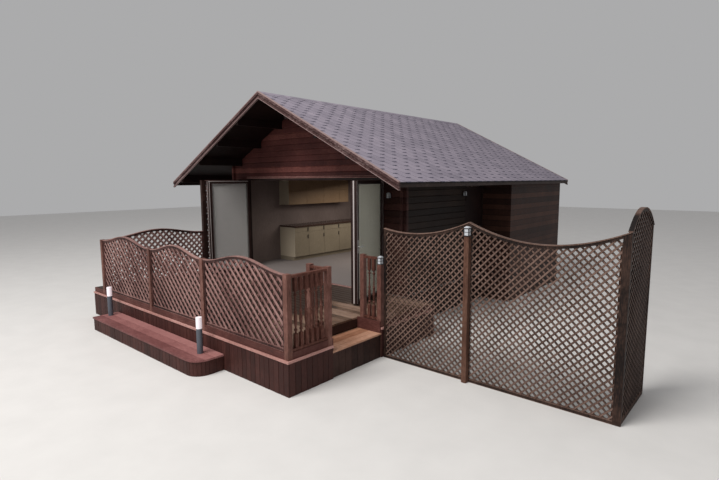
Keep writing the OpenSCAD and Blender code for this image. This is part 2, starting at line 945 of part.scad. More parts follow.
// One turned spindle, square at both ends.
module spindle(z0, z1) {
    h = z1 - z0;
    r = spindle_w / 2;
    translate([-r, -r, z0])
        cube([spindle_w, spindle_w, h * 0.2]);
    translate([-r, -r, z1 - h * 0.2])
        cube([spindle_w, spindle_w, h * 0.2]);
    translate([0, 0, z0 + h * 0.2])
        rotate_extrude($fn = 24)
            polygon([
                [0, 0], [r * 0.95, 0], [r * 0.5, h * 0.015], [r * 0.5, h * 0.03], [r * 0.95, h * 0.045],
                [r * 0.95, h * 0.06], [r * 0.5, h * 0.075], [r * 0.7, h * 0.12], [r, h * 0.19],
                [r * 0.95, h * 0.23], [r * 0.6, h * 0.28], [r * 0.95, h * 0.295], [r * 0.95, h * 0.31],
                [r * 0.55, h * 0.33], [r * 0.45, h * 0.42], [r * 0.5, h * 0.525], [r * 0.95, h * 0.54],
                [r * 0.95, h * 0.555], [r * 0.5, h * 0.57], [r * 0.5, h * 0.585], [r * 0.95, h * 0.6],
                [0, h * 0.6]
            ]);
}

// Rails and spindles between two posts, its length along X from its first post.
module balustrade(l, n) {
    z1 = post_z - hand_drop;
    low = panel_z0 + 5;
    box([seat, -hand_w / 2, z1 - hand_t], [l - seat, hand_w / 2, z1]);
    box([seat, -hand_w / 2, low], [l - seat, hand_w / 2, low + hand_t]);
    for (i = [1 : n])
        translate([i * l / (n + 1), 0, 0])
            spindle(low + hand_t, z1 - hand_t);
}

module balustrades() {
    y0 = front_y + post_w;
    color("#7a5a4c") {
        translate([deck_right - post_c, y0, 0])
            rotate([0, 0, 90])
                balustrade(near_post_y - post_c - y0, near_n);
        for (y = [near_post_y, far_post_y])
            translate([return_x0, y, 0])
                balustrade(return_l, return_n);
    }
}

module step() {
    color("#a5735a") {
        box([step_x0, stair_front, step_z - deck_t], [deck_right + 10, stair_back, step_z]);
        box([deck_right - kick_t, stair_front, 0], [deck_right, stair_back, step_z - deck_t - seat]);
        box([step_x0 - kick_t, stair_front, 0], [step_x0 - seat, stair_back, deck_z - deck_t]);
    }
}

// Plan of the platform with one rounded corner at its front right.
module platform_plan(inset) {
    x0 = platform_x0 + inset;
    x1 = platform_x1 - inset;
    y0 = front_y - skirt_t - platform_d + inset;
    y1 = front_y - skirt_t;
    r = platform_r - inset;
    polygon(concat([[x0, y1], [x0, y0]],
        [for (a = [-90 : 10 : 0]) [x1 - r + r * cos(a), y0 + r + r * sin(a)]], [[x1, y1]]));
}

module platform() {
    color("#7f5d50") {
        translate([0, 0, platform_z - deck_t])
            linear_extrude(deck_t)
                platform_plan(0);
        linear_extrude(platform_z - deck_t)
            difference() {
                platform_plan(12);
                platform_plan(12 + skirt_t);
            }
    }
}

bollard_xs = [platform_x0 + 140, platform_x1 - 300];
bollard_y = front_y - 218;

module bollards() {
    color("#3b4149")
        for (x = bollard_xs)
            translate([x, bollard_y, platform_z])
                cylinder(h = bollard_h * 0.69, d = bollard_d);
}

module bollard_lenses() {
    color("#f0ecee")
        for (x = bollard_xs)
            translate([x, bollard_y, platform_z + bollard_h * 0.69])
                cylinder(h = bollard_h * 0.31, d = bollard_d);
}

// Lamp that stands on a post, in a shape of a lantern with a cap.
module post_lamp(x, y, z, w) {
    r = w / 2;
    box([x - r, y - r, z], [x + r, y + r, z + lamp_h * 0.12]);
    box([x - r * 0.82, y - r * 0.82, z], [x + r * 0.82, y + r * 0.82, z + lamp_h * 0.8]);
    box([x - r, y - r, z + lamp_h * 0.74], [x + r, y + r, z + lamp_h]);
}

module lamps() {
    color("#dfe4ea") {
        translate([open_x1 + wall_lamp_in, -70, wall_lamp_z])
            cube([95, 70, 105]);
        translate([half_w, door_y - 110, side_lamp_z])
            cube([80, 60, 100]);
        post_lamp(deck_right - post_c, far_post_y, post_z - lamp_h, post_w);
        post_lamp(lit_post[0], lit_post[1] - lamp_over / 2, fence_z - fence_post_drop, fence_post_w + lamp_over);
    }
}

// Upright fence post with a square section, standing on the ground.
module fence_post(x, y, z) {
    c = fence_post_w / 2;
    box([x - c, y - c, 0], [x + c, y + c, z]);
}

module fence_posts() {
    x = return_x - fence_post_c;
    z = fence_z - fence_post_drop;
    color("#7a5b4e") {
        fence_post(lit_post[0], lit_post[1], z);
        fence_post(x, fence_post_c - fence_front, z);
        fence_post(x, return_y + bay_3 - fence_post_w / 2, z);
    }
}

// Fence bay from a place on the ground in a direction, between two heights.
module fence_bay(x, y, turn, l, z0, z1, kind, rise) {
    color("#8a6a5d")
        translate([x, y, 0])
            rotate([0, 0, turn])
                lattice_panel(l, 0, z0, z1, kind, rise, fence_grid);
}

module fence_bay_1() {
    fence_bay(fence_x, -fence_front, 0, bay_1 - seat, fence_start_z, fence_z, 2, dip_1);
}

module fence_bay_2() {
    fence_bay(fence_joint_x, -fence_front, 0, bay_2, fence_z, fence_z, 2, dip_2);
}

module fence_bay_3() {
    fence_bay(return_x, return_y, 90, bay_3, fence_z, fence_z, 3, arch_3);
}

base_frame();
floor_boards();
front_walls();
front_gable();
left_wall();
right_wall();
rear_wall();
inner_lining();
roof_boards();
purlins();
barge_boards();
eave_fascias();
opening_frame();
left_leaves();
right_leaves();
leaf_panes();
leaf_blinds();
leaf_handles();
side_door_frame();
side_door();
side_door_handle();
store_walls();
kitchen_units();
worktop();
lamps();
deck_frame();
deck_boards();
deck_skirt();
kick_boards();
deck_ledge();
deck_posts();
front_panel_1();
front_panel_2();
front_panel_3();
left_panel();
left_screen();
balustrades();
step();
platform();
bollards();
bollard_lenses();
fence_posts();
fence_bay_1();
fence_bay_2();
fence_bay_3();
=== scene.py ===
"""Looks of the beach hut: shingles, boards, lattice, doors, finishes, studio and camera."""

import math
import random

import bmesh
import bpy
from mathutils import Matrix, Vector


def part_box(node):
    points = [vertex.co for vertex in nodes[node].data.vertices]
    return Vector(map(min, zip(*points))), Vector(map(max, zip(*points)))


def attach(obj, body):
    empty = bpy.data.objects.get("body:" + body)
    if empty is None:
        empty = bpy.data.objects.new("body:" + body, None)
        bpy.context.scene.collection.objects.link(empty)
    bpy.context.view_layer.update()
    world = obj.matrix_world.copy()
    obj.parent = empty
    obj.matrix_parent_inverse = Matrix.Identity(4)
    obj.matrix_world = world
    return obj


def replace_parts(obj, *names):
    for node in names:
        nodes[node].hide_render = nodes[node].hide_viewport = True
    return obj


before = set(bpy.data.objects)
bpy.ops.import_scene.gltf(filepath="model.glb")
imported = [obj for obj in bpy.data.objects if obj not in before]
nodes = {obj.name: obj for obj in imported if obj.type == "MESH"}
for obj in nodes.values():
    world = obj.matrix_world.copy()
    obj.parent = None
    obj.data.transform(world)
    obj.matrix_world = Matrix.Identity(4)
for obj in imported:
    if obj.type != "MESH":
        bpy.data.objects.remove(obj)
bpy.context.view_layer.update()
HUT = "hut"

# places that finishes and pieces share, in metres

SLOPE = math.radians(27.1)
RIDGE_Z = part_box("barge_boards")[1].z
EAVE_Z = 2.689
EAVE_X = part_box("eave_fascias")[1].x
ROOF_LOW, ROOF_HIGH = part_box("roof_boards")
STEP_LOW, STEP_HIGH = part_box("step")
RISER_T = 0.02
STAIR_X = STEP_LOW.x + RISER_T
OPEN_X0, OPEN_X1 = -2.065, 2.115
# axis, first joint and pitch of the wall boards
LOG_COURSES = ("Z", 0.585, 0.121)
STORE_COURSES = ("Z", 0.0, 0.12)


# shader maths


def plug(tree, socket, item):
    """Links a wrapped socket into an input, or writes a plain value there."""
    if isinstance(item, Value):
        tree.links.new(item.socket, socket)
    else:
        socket.default_value = item


class Value:
    """A socket that takes part in plain arithmetic, which adds the nodes for it."""

    def __init__(self, tree, socket):
        self.tree = tree
        self.socket = socket

    def math(self, operation, *terms):
        node = self.tree.nodes.new("ShaderNodeMath")
        node.operation = operation
        for socket, term in zip(node.inputs, terms):
            plug(self.tree, socket, term)
        return Value(self.tree, node.outputs[0])

    def __add__(self, other):
        return self.math("ADD", self, other)

    def __radd__(self, other):
        return self.math("ADD", other, self)

    def __sub__(self, other):
        return self.math("SUBTRACT", self, other)

    def __rsub__(self, other):
        return self.math("SUBTRACT", other, self)

    def __mul__(self, other):
        return self.math("MULTIPLY", self, other)

    def __rmul__(self, other):
        return self.math("MULTIPLY", other, self)

    def __truediv__(self, other):
        return self.math("DIVIDE", self, other)

    def __rtruediv__(self, other):
        return self.math("DIVIDE", other, self)

    def floor(self):
        return self.math("FLOOR", self)

    def part(self):
        return self.math("FRACT", self)

    def size(self):
        return self.math("ABSOLUTE", self)

    def larger(self, other):
        return self.math("MAXIMUM", self, other)


def set_stops(ramp, stops):
    """Gives a ramp its colours at their places."""
    while len(ramp.elements) > 1:
        ramp.elements.remove(ramp.elements[-1])
    ramp.elements[0].position, ramp.elements[0].color = stops[0]
    for place, colour in stops[1:]:
        ramp.elements.new(place).color = colour


class Tree:
    """A node tree under construction."""

    def __init__(self, tree):
        self.tree = tree

    def node(self, kind, settings, sockets, out=0):
        """Adds one node: settings first, then the values or links of its sockets."""
        made = self.tree.nodes.new(kind)
        for key, setting in settings.items():
            if key == "stops":
                set_stops(made.color_ramp, setting)
            else:
                setattr(made, key, setting)
        for key, item in sockets.items():
            plug(self.tree, made.inputs[key], item)
        return Value(self.tree, made.outputs[out])


class Finish(Tree):
    """A material under construction, with one principled shader."""

    def __init__(self, name):
        self.material = bpy.data.materials.new(name)
        self.material.use_nodes = True
        super().__init__(self.material.node_tree)
        self.tree.nodes.clear()
        self.shader = self.tree.nodes.new("ShaderNodeBsdfPrincipled")
        output = self.tree.nodes.new("ShaderNodeOutputMaterial")
        self.tree.links.new(self.shader.outputs[0], output.inputs[0])

    def place(self, scale=(1, 1, 1)):
        """Object coordinates, scaled."""
        spot = self.node("ShaderNodeTexCoord", {}, {}, "Object")
        return self.node("ShaderNodeMapping", {}, {"Vector": spot, "Scale": scale})

    def axis(self, letter):
        """One object coordinate in metres."""
        spot = self.node("ShaderNodeTexCoord", {}, {}, "Object")
        return self.node("ShaderNodeSeparateXYZ", {}, {"Vector": spot}, letter)

    def noise(self, where, scale, detail=3.0, rough=0.55):
        sockets = {"Vector": where, "Scale": scale, "Detail": detail, "Roughness": rough}
        return self.node("ShaderNodeTexNoise", {}, sockets)

    def attribute(self, name):
        return self.node("ShaderNodeAttribute", {"attribute_name": name}, {}, "Fac")

    def ramp(self, factor, *stops):
        return self.node("ShaderNodeValToRGB", {"stops": stops}, {"Fac": factor})

    def blend(self, factor, first, second):
        kind = {"data_type": "RGBA", "blend_type": "MIX"}
        return self.node("ShaderNodeMix", kind, {0: factor, 6: first, 7: second}, 2)

    def clamp(self, value, low, high, to_low=0.0, to_high=1.0):
        sockets = {
            "Value": value,
            "From Min": low,
            "From Max": high,
            "To Min": to_low,
            "To Max": to_high,
        }
        return self.node("ShaderNodeMapRange", {"clamp": True}, sockets)

    def bump(self, height, depth, strength=1.0):
        sockets = {"Height": height, "Distance": depth, "Strength": strength}
        return self.node("ShaderNodeBump", {}, sockets)

    def finish(self, colour, rough, normal=None, **constants):
        """Feeds the shader and returns the material."""
        plug(self.tree, self.shader.inputs["Base Color"], colour)
        plug(self.tree, self.shader.inputs["Roughness"], rough)
        if normal is not None:
            plug(self.tree, self.shader.inputs["Normal"], normal)
        for key, constant in constants.items():
            self.shader.inputs[key.replace("_", " ")].default_value = constant
        return self.material


def rgb(red, green, blue):
    """Linear colour from the 0 to 255 values of a screen colour."""

    def linear(channel):
        share = channel / 255
        return share / 12.92 if share <= 0.04045 else ((share + 0.055) / 1.055) ** 2.4

    return (linear(red), linear(green), linear(blue), 1.0)


# kinds of finish; their colours are given as screen values

GRAIN = {"X": (1.2, 14, 14), "Y": (14, 1.2, 14), "Z": (14, 14, 1.2)}
TONE_OF_COURSE = 0.22
TONE_OF_BOARD = 0.3
JOINT_SHADE = 0.6


def wood(name, dark, mid, pale, along="X", course=None, tint=False, worn=0.35, rough=0.6,
         joint=0.0, edges=None):
    """Stained wood: grain along an axis, blotches, a tone for each board, joints, and the painted
    light and shade that an edges function adds.
    """
    f = Finish(name)
    dark, mid, pale = rgb(*dark), rgb(*mid), rgb(*pale)
    fine = f.noise(f.place(GRAIN[along]), 9.0, 5.0, 0.6)
    broad = f.noise(f.place(), 1.7, 3.0)
    spots = f.noise(f.place(), 23.0, 2.0)
    shade = fine * 0.5 + broad * 0.35 + spots * 0.15
    if course:
        letter, start, pitch = course
        place = (f.axis(letter) - start) / pitch
        one_axis = {"noise_dimensions": "1D"}
        tone = f.node("ShaderNodeTexWhiteNoise", one_axis, {"W": place.floor()})
        shade = shade + (tone - 0.5) * TONE_OF_COURSE
        if joint:
            near = f.clamp((place.part() - 0.5).size(), 0.5 - joint / pitch, 0.5)
            shade = shade - near * JOINT_SHADE
    if tint:
        shade = shade + (f.attribute("tint") - 0.5) * TONE_OF_BOARD
    if edges:
        shade = edges(f, shade)
    colour = f.ramp(shade, (0.3, dark), (0.5, mid), (0.68, pale))
    worn_spots = f.clamp(broad * 0.5 + fine * 0.5, 0.56, 0.68, 0.0, worn)
    colour = f.blend(worn_spots, colour, pale)
    height = fine * 0.7 + spots * 0.3
    sheen = f.clamp(fine, 0.35, 0.7, rough - 0.08, rough + 0.12)
    return f.finish(colour, sheen, f.bump(height, 0.004, 0.6), Specular_IOR_Level=0.22)


def barge_painted_highlights(f, shade):
    """Painted highlights: pale arrises along the top and the foot of a barge board."""
    depth = RIDGE_Z - f.axis("X").size() * math.tan(SLOPE) - f.axis("Z")
    return shade + f.clamp(depth, 0.016, 0.008) * 0.5 + f.clamp(depth, 0.122, 0.13) * 0.3


def eave_painted_shade(f, shade):
    """Painted shade: a dark band along the top of an eaves board, under the drip of the shingles.
    """
    return shade - f.clamp(f.axis("Z"), EAVE_Z - 0.05, EAVE_Z - 0.03) * 0.25


def deck_painted_shade(f, shade):
    """Painted shade on the deck boards to the left of the stair; the way from the stair to the
    doors stays lit, a touch lighter.
    """
    way = f.clamp(f.axis("X") + f.noise(f.place(), 2.0) * 0.5, 1.9, 2.4)
    return shade + way * 0.02 - (1 - way) * 0.34


def canopy_painted_shade(f, shade):
    """Painted shade where a post stands under the canopy by the wall."""
    near_wall = f.clamp(f.axis("Y"), -1.3, -1.1)
    return shade - near_wall * 0.5 * f.clamp(f.axis("X"), 0.0, -1.0)


def slat_painted_shade(f, shade):
    """Painted shade on the sides of slats that run aslant, in the gaps between them."""
    normal = f.node("ShaderNodeNewGeometry", {}, {}, "Normal")
    x, y, z = (
        f.node("ShaderNodeSeparateXYZ", {}, {"Vector": normal}, letter).size() for letter in "XYZ"
    )
    return shade - f.clamp(x.larger(y).larger(z), 0.93, 0.83) * 0.7


def shingle_finish():
    """Mineral felt: grit, blotches, a tone for each tab and a dark dash under it, partly the
    felt's printed shadow band and partly painted shadow of the tab.
    """
    f = Finish("shingle_felt")
    grit = f.noise(f.place(), 900.0, 2.0)
    blotch = f.noise(f.place(), 3.0, 3.0)
    shade = grit * 0.35 + blotch * 0.35 + (f.attribute("tint") - 0.5) * 0.12 + 0.15
    stops = (0.3, rgb(112, 106, 118)), (0.5, rgb(138, 130, 143)), (0.7, rgb(160, 150, 162))
    colour = f.blend(f.attribute("dash"), f.ramp(shade, *stops), rgb(66, 64, 84))
    return f.finish(colour, 0.92, f.bump(grit, 0.002, 0.7))


def plain(name, colour, rough, metallic=0.0, scale=60.0, depth=0.0006, **more):
    """Painted, moulded or metal surface with a fine uneven texture."""
    f = Finish(name)
    colour = rgb(*colour)
    speck = f.noise(f.place(), scale, 3.0)
    low = tuple(c * 0.88 for c in colour[:3]) + (1.0,)
    mixed = f.blend(speck, low, colour)
    spread = f.clamp(speck, 0.3, 0.7, rough - 0.05, rough + 0.08)
    return f.finish(mixed, spread, f.bump(speck, depth, 0.4), Metallic=metallic, **more)


def pane_finish():
    """Door glass: see-through, slightly hazy."""
    f = Finish("leaf_glass")
    haze = f.noise(f.place(), 1.3, 2.0)
    colour = f.blend(haze, rgb(186, 190, 184), rgb(206, 208, 202))
    return f.finish(colour, f.clamp(haze, 0.3, 0.7, 0.04, 0.1), Alpha=0.3, IOR=1.45)


# finishes of the hut

# The logs are three copies of one stain: the gable's, a darker copy with painted shade for the
# front walls under the canopy and for the rear wall, and a darkest copy with painted shade for the
# side walls.
LOG = wood("log_stain", (60, 29, 28), (98, 54, 50), (140, 86, 78), "X", LOG_COURSES)
LOG_SHADED = wood("log_stain_low", (34, 16, 15), (54, 31, 28), (84, 52, 47), "X", LOG_COURSES)
LOG_SIDE_SHADED = wood("log_stain_side", (20, 12, 10), (32, 21, 17), (52, 38, 31), "Y", LOG_COURSES)
STORE = wood("store_stain", (28, 14, 10), (54, 31, 24), (78, 51, 40), "Y", STORE_COURSES,
             joint=0.008)
FRAME_WOOD = wood("frame_stain", (17, 8, 7), (27, 13, 12), (44, 24, 20), "Y")
BARGE = wood("barge_stain", (44, 27, 26), (70, 46, 45), (148, 126, 124), "X", edges=barge_painted_highlights)
FASCIA = wood("fascia_stain", (24, 15, 14), (52, 40, 37), (76, 62, 57), "Y", edges=eave_painted_shade)
LINING = wood("lining_paint", (112, 98, 95), (126, 112, 108), (142, 128, 124), "Z", worn=0.0)
LEAF_WOOD = wood("leaf_stain", (24, 13, 12), (40, 25, 23), (66, 46, 42), "Z", worn=0.1, rough=0.4)

DECK = wood("deck_board", (52, 38, 32), (113, 89, 74), (143, 118, 103), "X", tint=True,
            edges=deck_painted_shade)
TREAD = wood("tread_board", (138, 92, 68), (172, 124, 98), (200, 156, 132), "X", tint=True)
RISER = wood("riser_stain", (24, 14, 12), (44, 27, 23), (70, 48, 42), "Z", tint=True)
PLATFORM = wood("platform_board", (104, 62, 61), (138, 90, 88), (164, 114, 111), "X", tint=True)
SKIRT = wood("skirt_stain", (42, 21, 18), (64, 35, 31), (84, 50, 45), "Z", tint=True, worn=0.1)
LEDGE = wood("ledge_stain", (136, 94, 87), (182, 136, 128), (212, 170, 163), "X")
KICK = wood("kick_stain", (58, 32, 29), (86, 50, 45), (120, 80, 74), "X")
POST = wood("post_stain", (46, 28, 24), (112, 75, 66), (152, 113, 103), "Z", edges=canopy_painted_shade)
SPINDLE = wood("spindle_stain", (54, 28, 23), (88, 52, 43), (142, 98, 86), "Z")
LATTICE = wood("lattice_stain", (24, 8, 7), (100, 67, 63), (162, 127, 121), "Z", tint=True,
               worn=0.0, edges=slat_painted_shade)
FENCE = wood("fence_stain", (20, 11, 9), (76, 55, 46), (126, 102, 92), "Z", tint=True,
             worn=0.0, edges=slat_painted_shade)
FENCE_POST = wood("fence_post_stain", (56, 35, 28), (88, 59, 47), (124, 92, 77), "Z")

UNIT = wood("unit_paint", (128, 117, 100), (143, 132, 114), (158, 147, 128), "Z", worn=0.0,
            rough=0.4)
HIGH_UNIT = wood("high_unit_paint", (130, 106, 82), (147, 122, 97), (162, 138, 112), "Z",
                 worn=0.0, rough=0.4)
UNIT_END = plain("unit_end_paint", (196, 182, 160), 0.4, scale=4.0)
WORKTOP = plain("worktop_stone", (70, 52, 46), 0.25, scale=120.0)
CARPET = plain("carpet_pile", (120, 112, 110), 0.95, scale=420.0, depth=0.004)

SHINGLE = shingle_finish()
PANE = pane_finish()
SEAL = plain("leaf_seal", (196, 186, 184), 0.42)
LEAF_BEAD = plain("leaf_bead", (98, 88, 88), 0.4)
BLIND = plain("blind_slat", (222, 212, 216), 0.6)
# The shade cloth's faint glow is painted light: it brightens the cloth behind the glass of the
# leaf that faces away from the key light.
SHADE = plain("shade_cloth", (232, 228, 210), 0.7, scale=3.0,
              Emission_Color=rgb(200, 196, 176), Emission_Strength=0.07)
STEEL = plain("satin_steel", (190, 190, 190), 0.3, metallic=0.9)
DARK_METAL = plain("dark_metal", (52, 50, 54), 0.4, metallic=0.4)
CHARCOAL = plain("bollard_paint", (90, 96, 106), 0.5, scale=30.0)
OPAL = plain("lens_opal", (248, 240, 246), 0.35,
             Emission_Color=rgb(240, 230, 236), Emission_Strength=0.34)
WHITE = plain("lamp_shell", (206, 210, 216), 0.4)


def dress(names, material):
    """Gives solids of the part their finish."""
    for name in names.split():
        slots = nodes[name].data.materials
        slots.clear()
        slots.append(material)


dress("front_gable", LOG)
dress("front_walls rear_wall", LOG_SHADED)
dress("left_wall right_wall", LOG_SIDE_SHADED)
dress("base_frame purlins deck_frame side_door_frame side_door roof_boards", FRAME_WOOD)
dress("inner_lining", LINING)
dress("barge_boards", BARGE)
dress("eave_fascias", FASCIA)
dress("kick_boards", KICK)
dress("deck_ledge", LEDGE)
dress("opening_frame left_leaves right_leaves", LEAF_WOOD)
dress("leaf_panes", PANE)
dress("leaf_blinds", BLIND)
dress("leaf_handles side_door_handle", STEEL)
dress("store_walls", STORE)
dress("kitchen_units", UNIT)
dress("worktop", WORKTOP)
dress("floor_boards", CARPET)
dress("lamps", WHITE)
dress("deck_boards", DECK)
dress("step", TREAD)
dress("platform", PLATFORM)
dress("deck_skirt", SKIRT)
dress("deck_posts", POST)
dress("balustrades", SPINDLE)
dress("bollards", CHARCOAL)
dress("bollard_lenses", OPAL)
dress("fence_posts", FENCE_POST)


# node trees that make meshes


class Maker(Tree):
    """A tree that makes a mesh, under construction, with named inputs and a material."""

    def __init__(self, name, counts, measures):
        super().__init__(bpy.data.node_groups.new(name, "GeometryNodeTree"))
        add = self.tree.interface.new_socket
        add("Geometry", in_out="OUTPUT", socket_type="NodeSocketGeometry")
        for title in counts:
            add(title, in_out="INPUT", socket_type="NodeSocketInt")
        for title in measures:
            add(title, in_out="INPUT", socket_type="NodeSocketFloat")
        add("Material", in_out="INPUT", socket_type="NodeSocketMaterial")
        self.inputs = self.tree.nodes.new("NodeGroupInput")
        self.output = self.tree.nodes.new("NodeGroupOutput")

    def take(self, title):
        return Value(self.tree, self.inputs.outputs[title])

    def vector(self, x, y, z):
        return self.node("ShaderNodeCombineXYZ", {}, {0: x, 1: y, 2: z})

    def move(self, geometry, x, y, z, turn=(0, 0, 0)):
        sockets = {
            "Geometry": geometry,
            "Translation": self.vector(x, y, z),
            "Rotation": self.vector(*turn),
        }
        return self.node("GeometryNodeTransform", {}, sockets)

    def fill(self, outline):
        return self.node("GeometryNodeFillCurve", {"mode": "NGONS"}, {"Curve": outline})

    def join(self, *parts):
        made = self.tree.nodes.new("GeometryNodeJoinGeometry")
        for part in parts:
            self.tree.links.new(part.socket, made.inputs[0])
        return Value(self.tree, made.outputs[0])

    def store(self, geometry, name, value, domain):
        kind = {"data_type": "FLOAT", "domain": domain}
        sockets = {"Geometry": geometry, "Name": name, "Value": value}
        return self.node("GeometryNodeStoreNamedAttribute", kind, sockets)

    def close(self, points, solid):
        """Ends the tree: one solid on each point, with its own tone, made real."""
        sockets = {"Points": points, "Instance": solid}
        rows = self.node("GeometryNodeInstanceOnPoints", {}, sockets)
        seed = {"Seed": self.take("Seed")}
        tone = self.node("FunctionNodeRandomValue", {"data_type": "FLOAT"}, seed, 1)
        rows = self.store(rows, "tint", tone, "INSTANCE")
        rows = self.node("GeometryNodeRealizeInstances", {}, {"Geometry": rows})
        sockets = {"Geometry": rows, "Material": self.take("Material")}
        rows = self.node("GeometryNodeSetMaterial", {}, sockets)
        self.tree.links.new(rows.socket, self.output.inputs[0])
        return self.tree


def board_tree():
    """Boards along X with rounded edges, set out along Y, each with its own tone."""
    measures = ("Pitch", "Length", "Width", "Thickness", "Edge")
    m = Maker("board_run", ("Count", "Seed"), measures)
    pitch, length, width, thick, edge = (m.take(title) for title in measures)
    points = m.node(
        "GeometryNodeMeshLine",
        {"mode": "OFFSET"},
        {"Count": m.take("Count"), "Offset": m.vector(0.0, pitch, 0.0)},
    )
    outline = m.node(
        "GeometryNodeCurvePrimitiveQuadrilateral", {}, {"Width": width, "Height": thick}
    )
    outline = m.node(
        "GeometryNodeFilletCurve", {"mode": "POLY"}, {"Curve": outline, "Count": 2, "Radius": edge}
    )
    sockets = {"Start": (0, 0, 0), "End": m.vector(length, 0.0, 0.0)}
    path = m.node("GeometryNodeCurvePrimitiveLine", {}, sockets)
    sockets = {"Curve": path, "Profile Curve": outline, "Fill Caps": True}
    board = m.node("GeometryNodeCurveToMesh", {}, sockets)
    return m.close(points, m.move(board, 0.0, width * 0.5, thick * 0.5))


def shingle_tree():
    """Six-sided felt tabs in staggered courses on the XY plane, the eaves at y = 0."""
    measures = ("Tab Width", "Foot", "Exposure", "Thickness")
    m = Maker("shingle_slope", ("Courses", "Tabs", "Seed"), measures)
    width, foot_width, step, thick = (m.take(title) for title in measures)
    tabs, courses = m.take("Tabs"), m.take("Courses")
    foot = m.node(
        "GeometryNodeCurvePrimitiveQuadrilateral",
        {"mode": "TRAPEZOID"},
        {"Bottom Width": foot_width, "Top Width": width, "Height": step, "Offset": 0.0},
    )
    head = m.node("GeometryNodeCurvePrimitiveQuadrilateral", {}, {"Width": width, "Height": step})
    flat = m.join(
        m.fill(m.move(foot, 0.0, step * 0.5, 0.0)), m.fill(m.move(head, 0.0, step * 1.5, 0.0))
    )
    flat = m.node("GeometryNodeMergeByDistance", {}, {"Geometry": flat, "Distance": 0.0005})
    solid = m.node(
        "GeometryNodeExtrudeMesh",
        {"mode": "FACES"},
        {"Mesh": flat, "Offset Scale": thick, "Individual": False},
    )
    # The dark dash under each tab's foot: partly printed shadow band, partly painted shadow of the
    # tab.
    size = m.vector(foot_width, step * 0.13, thick * 0.3)
    dash = m.node("GeometryNodeMeshCube", {}, {"Size": size})
    dash = m.move(dash, 0.0, step * -0.065, thick * 0.3)
    solid = m.join(solid, m.store(dash, "dash", 1.0, "POINT"))
    lean = thick / step * -1.0
    solid = m.move(solid, 0.0, 0.0, thick * 2.0, (lean, 0.0, 0.0))
    points = m.node(
        "GeometryNodeMeshGrid",
        {},
        {
            "Size X": width * (tabs - 1.0),
            "Size Y": step * (courses - 1.0),
            "Vertices X": tabs,
            "Vertices Y": courses,
        },
    )
    spot = m.node("GeometryNodeInputPosition", {}, {})
    high = m.node("ShaderNodeSeparateXYZ", {}, {0: spot}, 1)
    course = (high / step + courses * 0.5 + 0.5).floor()
    odd = m.node("ShaderNodeMath", {"operation": "MODULO"}, {0: course, 1: 2.0})
    offset = m.vector(odd * width * 0.5, 0.0, 0.0)
    points = m.node("GeometryNodeSetPosition", {}, {"Geometry": points, "Offset": offset})
    return m.close(points, solid)


BOARDS = board_tree()
SHINGLES = shingle_tree()


def new_object(name, data):
    """Puts an object with this data into the scene."""
    made = bpy.data.objects.new(name, data)
    bpy.context.scene.collection.objects.link(made)
    return made


def settle(piece):
    """Fixes a piece to the hut."""
    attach(piece, HUT)
    return piece


def grow(tree, values, name, material, where):
    """Runs a tree with the given inputs, and lays its mesh in place as a new piece."""
    host = new_object(name + "_host", bpy.data.meshes.new(name + "_host"))
    modifier = host.modifiers.new("make", "NODES")
    modifier.node_group = tree
    for item in tree.interface.items_tree:
        if item.in_out == "INPUT":
            value = material if item.name == "Material" else values[item.name]
            modifier[item.identifier] = value
    seen = host.evaluated_get(bpy.context.evaluated_depsgraph_get())
    mesh = bpy.data.meshes.new_from_object(seen)
    bpy.data.objects.remove(host)
    mesh.name = name
    if not mesh.materials:
        mesh.materials.append(material)
    mesh.transform(where)
    mesh.update()
    return settle(new_object(name, mesh))


def boards(name, material, count, pitch, gap, length, thick, where, seed):
    """Boards side by side with gaps between them."""
    values = {
        "Count": count,
        "Pitch": pitch,
        "Length": length,
        "Width": pitch - gap,
        "Thickness": thick,
        "Edge": 0.003,
        "Seed": seed,
    }
    return grow(BOARDS, values, name, material, where)


# forms made in mesh code

PALING_GAP = 0.004


def turned(origin, x_axis, y_axis):
    """Matrix that takes local X and Y to two directions and the origin to a place."""
    x_axis, y_axis = Vector(x_axis).normalized(), Vector(y_axis).normalized()
    z_axis = x_axis.cross(y_axis)
    rows = Matrix((x_axis, y_axis, z_axis)).transposed().to_4x4()
    rows.translation = Vector(origin)
    return rows


def standing(x, y, turn=0.0):
    """Matrix that stands a panel or a leaf at a place in plan, turned from X."""
    return Matrix.Translation((x, y, 0)) @ Matrix.Rotation(turn, 4, "Z")


def trim(piece, *planes):
    """Cuts away what lies in front of each plane, given as a point and a normal."""
    shape = bmesh.new()
    shape.from_mesh(piece.data)
    for point, normal in planes:
        every = shape.verts[:] + shape.edges[:] + shape.faces[:]
        bmesh.ops.bisect_plane(
            shape, geom=every, dist=1e-6, plane_co=point, plane_no=normal, clear_outer=True
        )
    shape.to_mesh(piece.data)
    shape.free()


def block(shape, low, high, matrix=None, edge=0.0):
    """Adds one block between two corners, with eased edges."""
    low, high = Vector(low), Vector(high)
    corners = bmesh.ops.create_cube(shape, size=1.0)["verts"]
    bmesh.ops.scale(shape, vec=high - low, verts=corners)
    bmesh.ops.translate(shape, vec=(low + high) / 2, verts=corners)
    if edge:
        edges = list({e for v in corners for e in v.link_edges})
        made = bmesh.ops.bevel(
            shape, geom=edges, offset=edge, segments=1, affect="EDGES", profile=0.5
        )
        kept = {v for v in corners if v.is_valid}
        corners = list({v for f in made["faces"] for v in f.verts} | kept)
    if matrix is not None:
        bmesh.ops.transform(shape, matrix=matrix, verts=corners)


